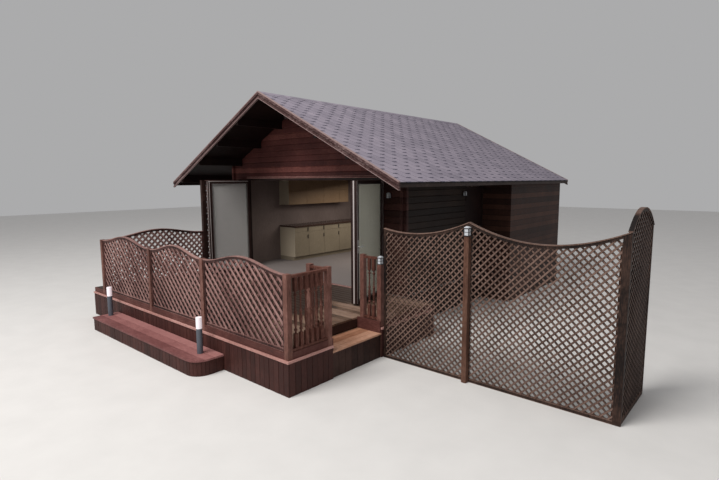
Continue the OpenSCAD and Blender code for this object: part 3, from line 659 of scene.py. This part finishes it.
def strip(shape, spots, y0, y1, matrix):
    """Adds a rail through places given as x, underside and top, from one depth to another."""
    rings = []
    for x, under, over in spots:
        corners = ((x, y0, under), (x, y1, under), (x, y1, over), (x, y0, over))
        rings.append([shape.verts.new(matrix @ Vector(c)) for c in corners])
    for a, b in zip(rings, rings[1:]):
        for k in range(4):
            n = (k + 1) % 4
            shape.faces.new((a[k], a[n], b[n], b[k]))
    shape.faces.new(rings[0][::-1])
    shape.faces.new(rings[-1])


def slab(shape, outline, z0, z1):
    """Adds a flat board with the given outline in plan."""
    under = [shape.verts.new((x, y, z0)) for x, y in outline]
    over = [shape.verts.new((x, y, z1)) for x, y in outline]
    shape.faces.new(under[::-1])
    shape.faces.new(over)
    for k in range(len(outline)):
        n = (k + 1) % len(outline)
        shape.faces.new((under[k], under[n], over[n], over[k]))


def piece_of(name, material, shape):
    """Turns a shape into a piece of the hut."""
    bmesh.ops.recalc_face_normals(shape, faces=shape.faces[:])
    mesh = bpy.data.meshes.new(name)
    shape.to_mesh(mesh)
    shape.free()
    mesh.materials.append(material)
    return settle(new_object(name, mesh))


def tinted(piece, seed, spread=1.0, shifts=()):
    """Gives each separate solid of a piece its own tone, shifted from some vertices on."""
    mesh = piece.data
    chance = random.Random(seed)
    parent = list(range(len(mesh.vertices)))

    def root(i):
        while parent[i] != i:
            parent[i] = parent[parent[i]]
            i = parent[i]
        return i

    for edge in mesh.edges:
        a, b = (root(i) for i in edge.vertices)
        parent[a] = b
    tones = {}
    layer = mesh.attributes.new("tint", "FLOAT", "POINT")
    for i in range(len(mesh.vertices)):
        own = tones.setdefault(root(i), (chance.random() - 0.5) * spread + 0.5)
        shift = [amount for first, amount in shifts if i >= first]
        layer.data[i].value = own + (shift[-1] if shift else 0.0)
    return piece


def palings(name, material, path, pitch, z0, z1, thick, seed):
    """Upright boards side by side along a path in plan, their outer faces on the path."""
    shape = bmesh.new()
    chance = random.Random(seed)
    for a, b in zip(path, path[1:]):
        a, b = Vector(a), Vector(b)
        length = (b - a).length
        count = max(1, round(length / pitch))
        wide = length / count
        way = (b - a) / length
        for i in range(count):
            foot = a + way * (wide * i)
            place = turned((foot.x, foot.y, 0), (way.x, way.y, 0), (-way.y, way.x, 0))
            low = (PALING_GAP / 2, chance.uniform(0.0, 0.003), z0)
            block(shape, low, (wide - PALING_GAP / 2, thick, z1), place, 0.003)
    return tinted(piece_of(name, material, shape), seed, 0.55)


# roof

TAB, FOOT, EXPOSURE, FELT = 0.333, 0.124, 0.148, 0.004
RIDGE_WING = 0.125
EAVE_DROP = EAVE_X * math.tan(SLOPE)


def shingle_slopes():
    """Shingles on both slopes, cut at the verges and the ridge."""
    courses = int(EAVE_X / math.cos(SLOPE) / EXPOSURE)
    tabs = int((ROOF_HIGH.y - ROOF_LOW.y) / TAB) + 3
    for side, name in ((1, "shingles_right"), (-1, "shingles_left")):
        values = {
            "Courses": courses,
            "Tabs": tabs,
            "Tab Width": TAB,
            "Foot": FOOT,
            "Exposure": EXPOSURE,
            "Thickness": FELT,
            "Seed": 3 + side,
        }
        up = Vector((-side * math.cos(SLOPE), 0, math.sin(SLOPE)))
        middle_y = (ROOF_LOW.y + ROOF_HIGH.y) / 2
        eave = Vector((side * EAVE_X, middle_y, ROOF_HIGH.z - EAVE_DROP))
        middle = eave + up * (EXPOSURE * (courses - 1) / 2)
        where = turned(middle, (0, side, 0), up)
        slope = grow(SHINGLES, values, name, SHINGLE, where)
        trim(
            slope,
            ((0, ROOF_LOW.y, 0), (0, -1, 0)),
            ((0, ROOF_HIGH.y, 0), (0, 1, 0)),
            ((0, 0, 0), (-side, 0, 0)),
        )


def eave_strips():
    """Felt under the first course, so that no board shows between its tabs."""
    shape = bmesh.new()
    for side in (1, -1):
        start_y = ROOF_LOW.y if side > 0 else ROOF_HIGH.y
        foot = (side * EAVE_X, start_y, ROOF_HIGH.z - EAVE_DROP)
        place = turned(foot, (0, side, 0), (-side * math.cos(SLOPE), 0, math.sin(SLOPE)))
        length = ROOF_HIGH.y - ROOF_LOW.y
        block(shape, (0.002, 0.001, 0.0), (length - 0.002, EXPOSURE, 0.006), place)
    tinted(piece_of("eave_strips", SHINGLE, shape), 9, 0.2)


def ridge_cap():
    """Lapped felt caps along the ridge."""
    shape = bmesh.new()
    y = ROOF_LOW.y
    while y < ROOF_HIGH.y - 0.02:
        deep = min(EXPOSURE, ROOF_HIGH.y - y)
        for side in (1, -1):
            across = (side * math.cos(SLOPE), 0, -math.sin(SLOPE))
            start = (0, y if side > 0 else y + deep, ROOF_HIGH.z + 0.008)
            place = turned(start, across, (0, side, 0))
            block(shape, (0, 0.002, 0), (RIDGE_WING, deep - 0.002, 0.005), place)
        y += EXPOSURE
    tinted(piece_of("ridge_cap", SHINGLE, shape), 4)


def barge_mouldings():
    """Raised moulding along the lower half of each barge board, in front and behind."""
    under, over = RIDGE_Z - 0.135, RIDGE_Z - 0.1
    shape = bmesh.new()
    low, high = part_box("barge_boards")
    drop = high.x * math.tan(SLOPE)
    for y0, y1 in ((low.y + 0.002, low.y + 0.0205), (high.y - 0.0205, high.y - 0.002)):
        for side in (1, -1):
            ends = [(0.0005 * side, under, over), (side * high.x, under - drop, over - drop)]
            strip(shape, ends, y0, y1, Matrix())
    piece_of("barge_mouldings", BARGE, shape)


# lattice panels

STILE = 0.038
RAIL_HALF, CAP_HALF = 0.018, 0.025
CAP_T, HEAD, ARRIS = 0.013, 0.046, 0.005
HUMP = 0.135
BAY_END_Z = 2.165


def panel_top(length, z0, z1, kind, rise):
    """Height of a panel's wavy top along its length."""

    def top(x):
        share = min(max(x / length, 0.0), 1.0)
        base = z0 + (z1 - z0) * share
        if kind == "hump":
            return base + rise * (1 - math.cos(2 * math.pi * share)) / 2
        sway = rise * 4 * share * (1 - share)
        return base + sway if kind == "arch" else base - sway

    return top


def slat_runs(length, low, top, layer):
    """Ends of the centre lines of slats that lean one way, inside the frame."""
    lean, start, pitch = layer
    inset, below = STILE / 2, HEAD / 2
    high = max(top(length * i / 20) for i in range(21))
    first = int((-(high - low) - start) / pitch) - 1
    last = int((length + high - low - start) / pitch) + 1
    for i in range(first, last + 1):
        foot = start + i * pitch
        run = []
        z = low
        while z < high:
            x = foot + lean * (z - low)
            if inset < x < length - inset and low + inset < z < top(x) - below:
                run.append((x, z))
            elif run:
                break
            z += 0.006
        if len(run) > 4:
            yield run[0], run[-1]


def trellis(node, material, place, length, low, top, layers, section, seed,
            stiles=(STILE, STILE), rear_shaded_tone=0.3):
    """Framed lattice panel: stiles, rails, capping and two layers of crossing slats."""
    shape = bmesh.new()
    width, thick = section
    left, right = stiles[0], length - stiles[1]
    along = [length * i / 28 for i in range(29)]
    strip(shape, [(x, top(x) - CAP_T, top(x)) for x in along], -CAP_HALF, CAP_HALF, place)
    proud = RAIL_HALF + 0.001
    for z in (low, low + STILE):
        strip(shape, [(left, z, z + ARRIS), (right, z, z + ARRIS)], -proud, proud, place)
    below_cap = len(shape.verts)
    uprights = [[(x0, low, top(x0) - HEAD), (x1, low, top(x1) - HEAD)]
                for x0, x1 in ((0.0, left), (right, length))]
    foot_rail = [(x, low + ARRIS, low + STILE) for x in (left, right)]
    head_rail = [(x, top(x) - HEAD, top(x) - CAP_T) for x in along]
    for spots in (head_rail, *uprights, foot_rail):
        strip(shape, spots, -RAIL_HALF, RAIL_HALF, place)
    from_slats = behind = len(shape.verts)
    for level, layer in enumerate(layers):
        if level:
            behind = len(shape.verts)
        y0 = -thick + level * thick
        for (xa, za), (xb, zb) in slat_runs(length, low, top, layer):
            reach = math.hypot(xb - xa, zb - za) / 2
            middle = Matrix.Translation(((xa + xb) / 2, 0, (za + zb) / 2))
            lay = place @ middle @ Matrix.Rotation(-layer[0] * math.pi / 4, 4, "Y")
            ends = (-reach, y0, -width / 2), (reach, y0 + thick, width / 2)
            block(shape, *ends, lay, 0.0015)
    # Tones with painted light: the capping and the arris strips lighter as painted highlights, the
    # frame darker, and the slats behind darker than those in front as painted shade.
    tones = ((0, 0.4), (below_cap, -0.4), (from_slats, 0.35), (behind, rear_shaded_tone))
    piece = tinted(piece_of("trellis_" + node, material, shape), seed, 0.25, tones)
    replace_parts(piece, node)


# node, seed, first slat and pitch in front, the same behind, tone of the slats behind, darker as
# painted shade
FRONT_PANELS = (
    ("front_panel_1", 1, 0.0704, 0.1295, 0.1175, 0.130, -0.1),
    ("front_panel_2", 2, 0.1019, 0.133, 0.060, 0.133, -0.05),
    ("front_panel_3", 3, 0.124, 0.133, 0.0667, 0.133, 0.2),
)
# node, seed, rise of the top
LEFT_PANELS = (("left_panel", 4, HUMP), ("left_screen", 5, 0.0))
# node, seed, kind of top, height at its start, rise, layers of slats
BAYS = (
    ("fence_bay_1", 6, "dip", 2.0, 0.112, ((1, 0.0624, 0.0915), (-1, 0.0818, 0.0925))),
    ("fence_bay_2", 7, "dip", 2.165, 0.215, ((1, 0.0579, 0.0925), (-1, 0.079, 0.0935))),
    ("fence_bay_3", 8, "arch", 2.165, 0.230, ((1, 0.0602, 0.101), (-1, 0.0324, 0.101))),
)
# stiles that cover the post behind a bay's end
WIDE_STILES = {"fence_bay_2": (STILE, 0.085), "fence_bay_3": (0.05, STILE)}


def deck_panels():
    """Lattice round the deck."""
    for node, seed, start, pitch, start_behind, pitch_behind, rear_shaded_tone in FRONT_PANELS:
        low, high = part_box(node)
        length = high.x - low.x
        top = panel_top(length, high.z - HUMP, high.z - HUMP, "hump", HUMP)
        layers = ((-1, start, pitch), (1, start_behind, pitch_behind))
        trellis(node, LATTICE, standing(low.x, (low.y + high.y) / 2), length, low.z, top,
                layers, (0.044, 0.010), seed, rear_shaded_tone=rear_shaded_tone)
    for node, seed, rise in LEFT_PANELS:
        low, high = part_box(node)
        length = high.y - low.y
        top = panel_top(length, high.z - rise, high.z - rise, "hump", rise)
        place = standing((low.x + high.x) / 2, low.y, math.pi / 2)
        trellis(node, LATTICE, place, length, low.z, top, ((-1, 0.05, 0.131), (1, 0.02, 0.131)),
                (0.042, 0.010), seed)


def fence_bays():
    """Finer lattice of the fence; its last bay runs back."""
    for node, seed, kind, start_z, rise, layers in BAYS:
        low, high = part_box(node)
        middle = (low + high) / 2
        if kind == "arch":
            length, place = high.y - low.y, standing(middle.x, low.y, math.pi / 2)
        else:
            length, place = high.x - low.x, standing(low.x, middle.y)
        top = panel_top(length, start_z, BAY_END_Z, kind, rise)
        trellis(node, FENCE, place, length, low.z, top, layers, (0.023, 0.012), seed,
                WIDE_STILES.get(node, (STILE, STILE)))


# deck, step and platform

PLANK, PLANK_GAP = 0.125, 0.006
SKIRT_PITCH, SKIRT_T = 0.098, 0.02
TREAD_Z, TREAD_T = 0.385, 0.028
CORNER_R = 0.235
PLATFORM_LOW, PLATFORM_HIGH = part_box("platform")
UNDER_PLATFORM_TOP = PLATFORM_HIGH.z - 0.028


def deck_planks():
    """Deck boards along the hut, cut short where the step comes in."""
    low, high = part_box("deck_boards")
    runs = (
        ("deck_planks", low.y, STEP_LOW.y, high.x),
        ("deck_planks_at_stair", STEP_LOW.y, STEP_HIGH.y, STAIR_X),
        ("deck_planks_rear", STEP_HIGH.y, high.y, high.x),
    )
    for seed, (name, y0, y1, x1) in enumerate(runs, 11):
        count = round((y1 - y0) / PLANK)
        where = Matrix.Translation((low.x, y0 + PLANK_GAP / 2, low.z))
        planks = boards(name, DECK, count, (y1 - y0) / count, PLANK_GAP, x1 - low.x,
                        high.z - low.z, where, seed)
        if name == "deck_planks":
            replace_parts(planks, "deck_boards")


def deck_skirts():
    """Upright boards round the foot of the deck."""
    low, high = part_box("deck_skirt")
    corner = low.y + 0.021
    runs = (
        ("skirt_front", ((low.x, low.y), (high.x, low.y))),
        ("skirt_right_front", ((high.x, corner), (high.x, STEP_LOW.y))),
        ("skirt_right_rear", ((high.x, STEP_HIGH.y), (high.x, 0.0))),
        ("skirt_left", ((low.x, 0.0), (low.x, corner))),
    )
    for seed, (name, path) in enumerate(runs, 5):
        skirt = palings(name, SKIRT, path, SKIRT_PITCH, 0.0, high.z, SKIRT_T, seed)
        if name == "skirt_front":
            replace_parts(skirt, "deck_skirt")


def step_boards():
    """Treads and risers of the step."""
    low, high = STEP_LOW, STEP_HIGH
    count = 4
    pitch = (high.x - STAIR_X) / count
    where = Matrix.Translation((high.x, low.y + 0.001, TREAD_Z - TREAD_T))
    where = where @ Matrix.Rotation(math.pi / 2, 4, "Z")
    treads = boards("step_treads", TREAD, count, pitch, 0.004, high.y - low.y - 0.002, TREAD_T,
                    where, 21)
    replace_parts(treads, "step")
    under_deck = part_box("deck_boards")[0].z
    x = high.x - 0.01
    palings("step_front_riser", RISER, ((x, low.y), (x, high.y)), 0.14, 0.0,
            TREAD_Z - TREAD_T - 0.001, RISER_T, 22)
    x = STAIR_X - 0.001
    palings("step_back_riser", RISER, ((x, low.y), (x, high.y)), 1.1, TREAD_Z + 0.001,
            under_deck, RISER_T - 0.001, 23)


def platform_end(y):
    """Right end of the platform at a depth, round at its front corner."""
    rise = PLATFORM_LOW.y + CORNER_R - y
    reach = math.sqrt(max(CORNER_R * CORNER_R - rise * rise, 0.0)) if rise > 0 else CORNER_R
    return PLATFORM_HIGH.x - CORNER_R + reach


def platform_boards():
    """Three boards on top with one round corner, and upright boards below them."""
    low, high = PLATFORM_LOW, PLATFORM_HIGH
    shape = bmesh.new()
    rows = 3
    wide = (high.y - low.y) / rows
    for i in range(rows):
        y0, y1 = low.y + wide * i + (0.002 if i else 0), low.y + wide * (i + 1) - 0.002
        ys = [y0 + (y1 - y0) * k / 10 for k in range(11)]
        outline = [(low.x, y0)] + [(platform_end(y), y) for y in ys] + [(low.x, y1)]
        slab(shape, outline, UNDER_PLATFORM_TOP, high.z)
    top = tinted(piece_of("platform_top", PLATFORM, shape), 31)
    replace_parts(top, "platform")
    inset = 0.012
    r = CORNER_R - inset
    angles = [math.pi / 2 * k / 6 for k in range(7)]
    corner = [(high.x - inset - r + r * math.sin(a), low.y + inset + r - r * math.cos(a))
              for a in angles]
    path = [(low.x + inset, high.y), (low.x + inset, low.y + inset)] + corner
    path.append((high.x - inset, high.y))
    palings("platform_palings", SKIRT, path, SKIRT_PITCH, 0.0, UNDER_PLATFORM_TOP, SKIRT_T, 32)


# folding leaves: local X across the two leaves, local Y from the free edge to the hinges

LEAF_GAP, LEAF_T, LEAF_W, LEAF_RAIL = 0.008, 0.056, 1.014, 0.062
SECOND = LEAF_T + LEAF_GAP
LAST_FACE = SECOND + LEAF_T
FREE_EDGE = -LEAF_W
LEAF_Z0, LEAF_Z1 = (corner.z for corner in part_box("left_leaves"))
LEFT_TURN, RIGHT_TURN = math.radians(-6.0), math.radians(12.5)
AT_LEFT = standing(OPEN_X0 - LEAF_GAP, -LEAF_GAP, LEFT_TURN)
AT_RIGHT = standing(OPEN_X1 + LEAF_GAP, -LEAF_GAP, RIGHT_TURN)
AT_RIGHT = AT_RIGHT @ Matrix.Scale(-1, 4, Vector((1, 0, 0)))


def leaf_seals():
    """Pale seals along the edges of the leaves."""
    z0, z1, skin = LEAF_Z0 + 0.01, LEAF_Z1, 0.0002
    shape = bmesh.new()
    for place, x0, x1, y0, y1 in (
        (AT_LEFT, 0.003, 0.013, FREE_EDGE - 0.002, FREE_EDGE - skin),
        (AT_LEFT, LAST_FACE - 0.014, LAST_FACE - 0.002, FREE_EDGE - 0.002, FREE_EDGE - skin),
        (AT_RIGHT, SECOND - 0.012, SECOND + 0.013, FREE_EDGE - 0.003, FREE_EDGE - skin),
        (AT_RIGHT, -0.002, -skin, FREE_EDGE + 0.004, FREE_EDGE + 0.012),
        (AT_RIGHT, -0.002, -skin, -0.022, -0.008),
    ):
        block(shape, (x0, y0, z0), (x1, y1, z1), place)
    ends = (SECOND, FREE_EDGE, z1 - 0.014), (LAST_FACE + 0.002, -0.03, z1 - 0.002)
    block(shape, *ends, AT_LEFT)
    piece_of("leaf_seals", SEAL, shape)


def leaf_beads():
    """Beads round the glass of the two leaves that face the room."""
    bead = 0.008
    y0, y1 = FREE_EDGE + LEAF_RAIL - bead, -LEAF_RAIL + bead
    z0, z1 = LEAF_Z0 + LEAF_RAIL - bead, LEAF_Z1 - LEAF_RAIL + bead
    shape = bmesh.new()
    for place, x0, x1 in (
        (AT_LEFT, LAST_FACE - 0.004, LAST_FACE + 0.003),
        (AT_RIGHT, -0.003, 0.004),
    ):
        for a, b in (
            ((y0, z0), (y1, z0 + bead)),
            ((y0, z1 - bead), (y1, z1)),
            ((y0, z0 + bead), (y0 + bead, z1 - bead)),
            ((y1 - bead, z0 + bead), (y1, z1 - bead)),
        ):
            block(shape, (x0, *a), (x1, *b), place)
    piece_of("leaf_beads", LEAF_BEAD, shape)


def blind_slats():
    """Tilted slats of the blind in the left leaf, under its head box."""
    y0, y1 = FREE_EDGE + LEAF_RAIL, -LEAF_RAIL
    x = SECOND + LEAF_T / 2 - 0.010
    shape = bmesh.new()
    z = LEAF_Z0 + LEAF_RAIL + 0.02
    while z < LEAF_Z1 - LEAF_RAIL - 0.03:
        tilt = Matrix.Translation((x, 0, z)) @ Matrix.Rotation(math.radians(62), 4, "Y")
        ends = (-0.012, y0 + 0.012, -0.0008), (0.012, y1 - 0.012, 0.0008)
        block(shape, *ends, AT_LEFT @ tilt)
        z += 0.0225
    top = LEAF_Z1 - LEAF_RAIL
    ends = (SECOND + 0.012, y0 + 0.006, top - 0.03), (SECOND + 0.023, y1 - 0.006, top - 0.004)
    block(shape, *ends, AT_LEFT)
    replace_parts(piece_of("blind_slats", BLIND, shape), "leaf_blinds")


def shade_cloth():
    """Pleated shade in the right leaf."""
    margin, pleats = 0.004, 14
    y0, y1 = FREE_EDGE + LEAF_RAIL + margin, -LEAF_RAIL - margin
    z0, z1 = LEAF_Z0 + LEAF_RAIL + margin, LEAF_Z1 - LEAF_RAIL - margin
    deep = (y1 - y0) / pleats
    shape = bmesh.new()
    for i in range(pleats):
        sway = 0.0015 if i % 2 else 0.0
        y = y0 + deep * i
        block(shape, (0.036 + sway, y, z0), (0.040 + sway, y + deep, z1), AT_RIGHT)
    piece_of("shade_cloth", SHADE, shape)


def door_trims():
    """Thin strips over the doors and under their sill."""
    head_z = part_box("front_gable")[0].z
    sill_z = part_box("floor_boards")[1].z
    shape = bmesh.new()
    for proud, under, over, edge in ((0.012, 0.001, 0.012, 0.002), (0.006, 0.03, 0.038, 0.001)):
        ends = (OPEN_X0, -proud, head_z + under), (OPEN_X1, -0.0005, head_z + over)
        block(shape, *ends, edge=edge)
    piece_of("head_strips", LEDGE, shape)
    shape = bmesh.new()
    for k in range(2):
        z = sill_z - 0.006 - k * 0.016
        ends = (OPEN_X0 + 0.12, -0.004 - k * 0.012, z - 0.006), (OPEN_X1 - 0.12, -0.0005, z)
        block(shape, *ends, edge=0.001)
    piece_of("sill_strips", LEDGE, shape)


# kitchen

FRONT_T = 0.018
PLINTH, DRAWER = 0.1, 0.14
NARROW_DOOR, DOOR, WALL_DOOR = 0.5, 0.6, 0.65
HANDLE_IN = 0.04
WALL_UNIT_D, WALL_UNIT_L = 0.385, 2.33
WALL_UNIT_Z, WALL_UNIT_H, WALL_UNIT_SPLIT = 1.475, 0.72, 0.37


def unit_fronts(shape, x, edges, rows):
    """Doors side by side between places along the wall, in rows between heights."""
    for y0, y1 in zip(edges, edges[1:]):
        for z0, z1 in zip(rows, rows[1:]):
            ends = (x - FRONT_T, y0 + 0.002, z0 + 0.002), (x, y1 - 0.002, z1 - 0.002)
            block(shape, *ends, edge=0.0025)


def kitchen():
    """Base and wall units with single doors, their end panels and handles."""
    low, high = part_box("kitchen_units")
    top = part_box("worktop")[0].z
    back, face, high_face = low.x, high.x, low.x + WALL_UNIT_D
    y0, y1, z0 = low.y, high.y, low.z

    shape = bmesh.new()
    block(shape, (back, y0, z0 + PLINTH), (face - FRONT_T - 0.002, y1, top))
    block(shape, (back, y0, z0), (face - 0.05, y1, z0 + PLINTH))
    edges = [y0] + [y0 + NARROW_DOOR + DOOR * k for k in range(5)] + [y1]
    unit_fronts(shape, face, edges, [z0 + PLINTH, top - DRAWER, top - 0.002])
    base_units = tinted(piece_of("base_unit_fronts", UNIT, shape), 41)
    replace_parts(base_units, "kitchen_units")

    wall_z0, wall_z1 = z0 + WALL_UNIT_Z, z0 + WALL_UNIT_Z + WALL_UNIT_H
    wall_y1 = y0 + WALL_UNIT_L
    shape = bmesh.new()
    block(shape, (back, y0, wall_z0 + 0.004), (high_face - FRONT_T - 0.002, wall_y1, wall_z1))
    edges = [y0 + WALL_DOOR * k for k in range(4)] + [wall_y1]
    unit_fronts(shape, high_face, edges, [wall_z0, wall_z0 + WALL_UNIT_SPLIT, wall_z1])
    tinted(piece_of("wall_unit_fronts", HIGH_UNIT, shape), 42)

    shape = bmesh.new()
    for x1, under, over in ((face, z0 + PLINTH, top - 0.001), (high_face, wall_z0, wall_z1)):
        block(shape, (back + 0.002, y0 - 0.002, under), (x1 - 0.001, y0 - 0.0005, over))
    piece_of("unit_ends", UNIT_END, shape)

    shape = bmesh.new()
    for k in range(5):
        y = y0 + NARROW_DOOR + DOOR * k - HANDLE_IN
        for z in (top - 0.07, top - 0.27):
            ends = (face, y - 0.006, z - 0.05), (face + 0.022, y + 0.006, z + 0.05)
            block(shape, *ends, edge=0.003)
    piece_of("unit_handles", DARK_METAL, shape)


# lanterns

NEWEL_X, NEWEL_TOP, NEWEL_HALF = 3.237, 1.568, 0.0375
POST_HALF = 0.039
LANTERN_H = 0.128
WALL_LAMP_IN, WALL_LAMP_HALF, WALL_LAMP_Z = 0.107, 0.0475, 2.373
SIDE_LAMP_X, SIDE_WALL_Y, SIDE_LAMP_Z = 2.59, 2.21, 2.362


def lantern(shells, bars, x, y, z, wide, tall):
    """Square lantern: base, glazing bars, white panes and a stepped cap."""

    def layer(shape, share, from_share, to_share, edge=0.0):
        r = wide / 2 * share
        ends = (x - r, y - r, z + tall * from_share), (x + r, y + r, z + tall * to_share)
        block(shape, *ends, edge=edge)

    layer(bars, 1.0, 0.0, 0.08, 0.002)
    layer(shells, 0.8, 0.08, 0.76)
    reach, half_bar = wide / 2 * 0.84, 0.004
    for sx in (-1, 1):
        for sy in (-1, 1):
            cx, cy = x + sx * reach, y + sy * reach
            ends = (
                (cx - half_bar, cy - half_bar, z + tall * 0.08),
                (cx + half_bar, cy + half_bar, z + tall * 0.76),
            )
            block(bars, *ends)
    layer(bars, 0.86, 0.4, 0.44)
    layer(bars, 1.0, 0.76, 0.82, 0.002)
    layer(shells, 0.9, 0.82, 0.92, 0.004)
    layer(shells, 0.6, 0.92, 1.0, 0.004)


def lanterns():
    """Lanterns on the newel and a fence post, and lamps on two walls."""
    low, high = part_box("lamps")
    newel = (NEWEL_X - NEWEL_HALF, STEP_HIGH.y + NEWEL_HALF, NEWEL_TOP - LANTERN_H)
    fence_post = (high.x - POST_HALF, low.y + POST_HALF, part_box("fence_posts")[1].z)
    front_wall = (OPEN_X1 + WALL_LAMP_IN + WALL_LAMP_HALF, -0.036, WALL_LAMP_Z)
    side_wall = (SIDE_LAMP_X + 0.036, SIDE_WALL_Y - 0.07, SIDE_LAMP_Z)
    shells, bars = bmesh.new(), bmesh.new()
    for place, wide, tall in (
        (newel, 2 * NEWEL_HALF, LANTERN_H),
        (fence_post, 2 * POST_HALF, LANTERN_H),
        (front_wall, 0.07, 0.105),
        (side_wall, 0.07, 0.1),
    ):
        lantern(shells, bars, *place, wide, tall)
    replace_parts(piece_of("lantern_panes", WHITE, shells), "lamps")
    piece_of("lantern_bars", DARK_METAL, bars)


for build in (
    shingle_slopes,
    deck_panels,
    fence_bays,
    barge_mouldings,
    deck_planks,
    deck_skirts,
    step_boards,
    platform_boards,
    leaf_seals,
    leaf_beads,
    blind_slats,
    shade_cloth,
    door_trims,
    kitchen,
    lanterns,
    eave_strips,
    ridge_cap,
):
    build()


# studio and camera

bpy.ops.mesh.primitive_plane_add(size=80, location=(1.5, 1.5, 0))
floor = bpy.context.object
floor.name = "studio_floor"
floor.data.materials.append(plain("floor_paint", (226, 224, 222), 0.9, scale=2.0, depth=0.0))

world = bpy.data.worlds.new("studio_air")
bpy.context.scene.world = world
world.use_nodes = True
air = world.node_tree.nodes["Background"].inputs
air["Color"].default_value = (0.97, 0.97, 0.98, 1.0)
air["Strength"].default_value = 0.42


def lamp(name, place, target, size, power, colour):
    """Soft square light, aimed at a place."""
    light = bpy.data.lights.new(name, "AREA")
    light.size = size
    light.energy = power
    light.color = colour
    body = new_object(name, light)
    body.location = place
    body.rotation_euler = (Vector(target) - Vector(place)).to_track_quat("-Z", "Y").to_euler()


lamp("key_light", (1.5, -11.0, 15.0), (0, 0, 1.0), 8.0, 2600.0, (1.0, 0.98, 0.95))
lamp("room_light", (-0.2, 3.0, 2.55), (-0.2, 3.2, 0.6), 2.4, 54.0, (1.0, 0.93, 0.84))

CAMERA_PLACE = (7.76767, -7.14082, 2.720)
YAW, PITCH, ROLL = math.radians(41.1674), math.radians(7.0654), math.radians(-0.2785)
SENSOR = 36.0
FOCAL_IN_PIXELS, PICTURE_WIDTH = 488.12, 719.0
forward = Vector(
    (-math.sin(YAW) * math.cos(PITCH), math.cos(YAW) * math.cos(PITCH), -math.sin(PITCH))
)
level = Vector((math.cos(YAW), math.sin(YAW), 0))
upward = level.cross(forward)
right = level * math.cos(ROLL) + upward * math.sin(ROLL)
upward = upward * math.cos(ROLL) - level * math.sin(ROLL)
lens = bpy.data.cameras.new("camera")
lens.lens = SENSOR * FOCAL_IN_PIXELS / PICTURE_WIDTH
lens.sensor_width = SENSOR
lens.clip_end = 200.0
camera = new_object("camera", lens)
turn = Matrix((right, upward, -forward)).transposed().to_4x4()
turn.translation = Vector(CAMERA_PLACE)
camera.matrix_world = turn
bpy.context.scene.camera = camera
bpy.context.scene.view_settings.view_transform = "Standard"
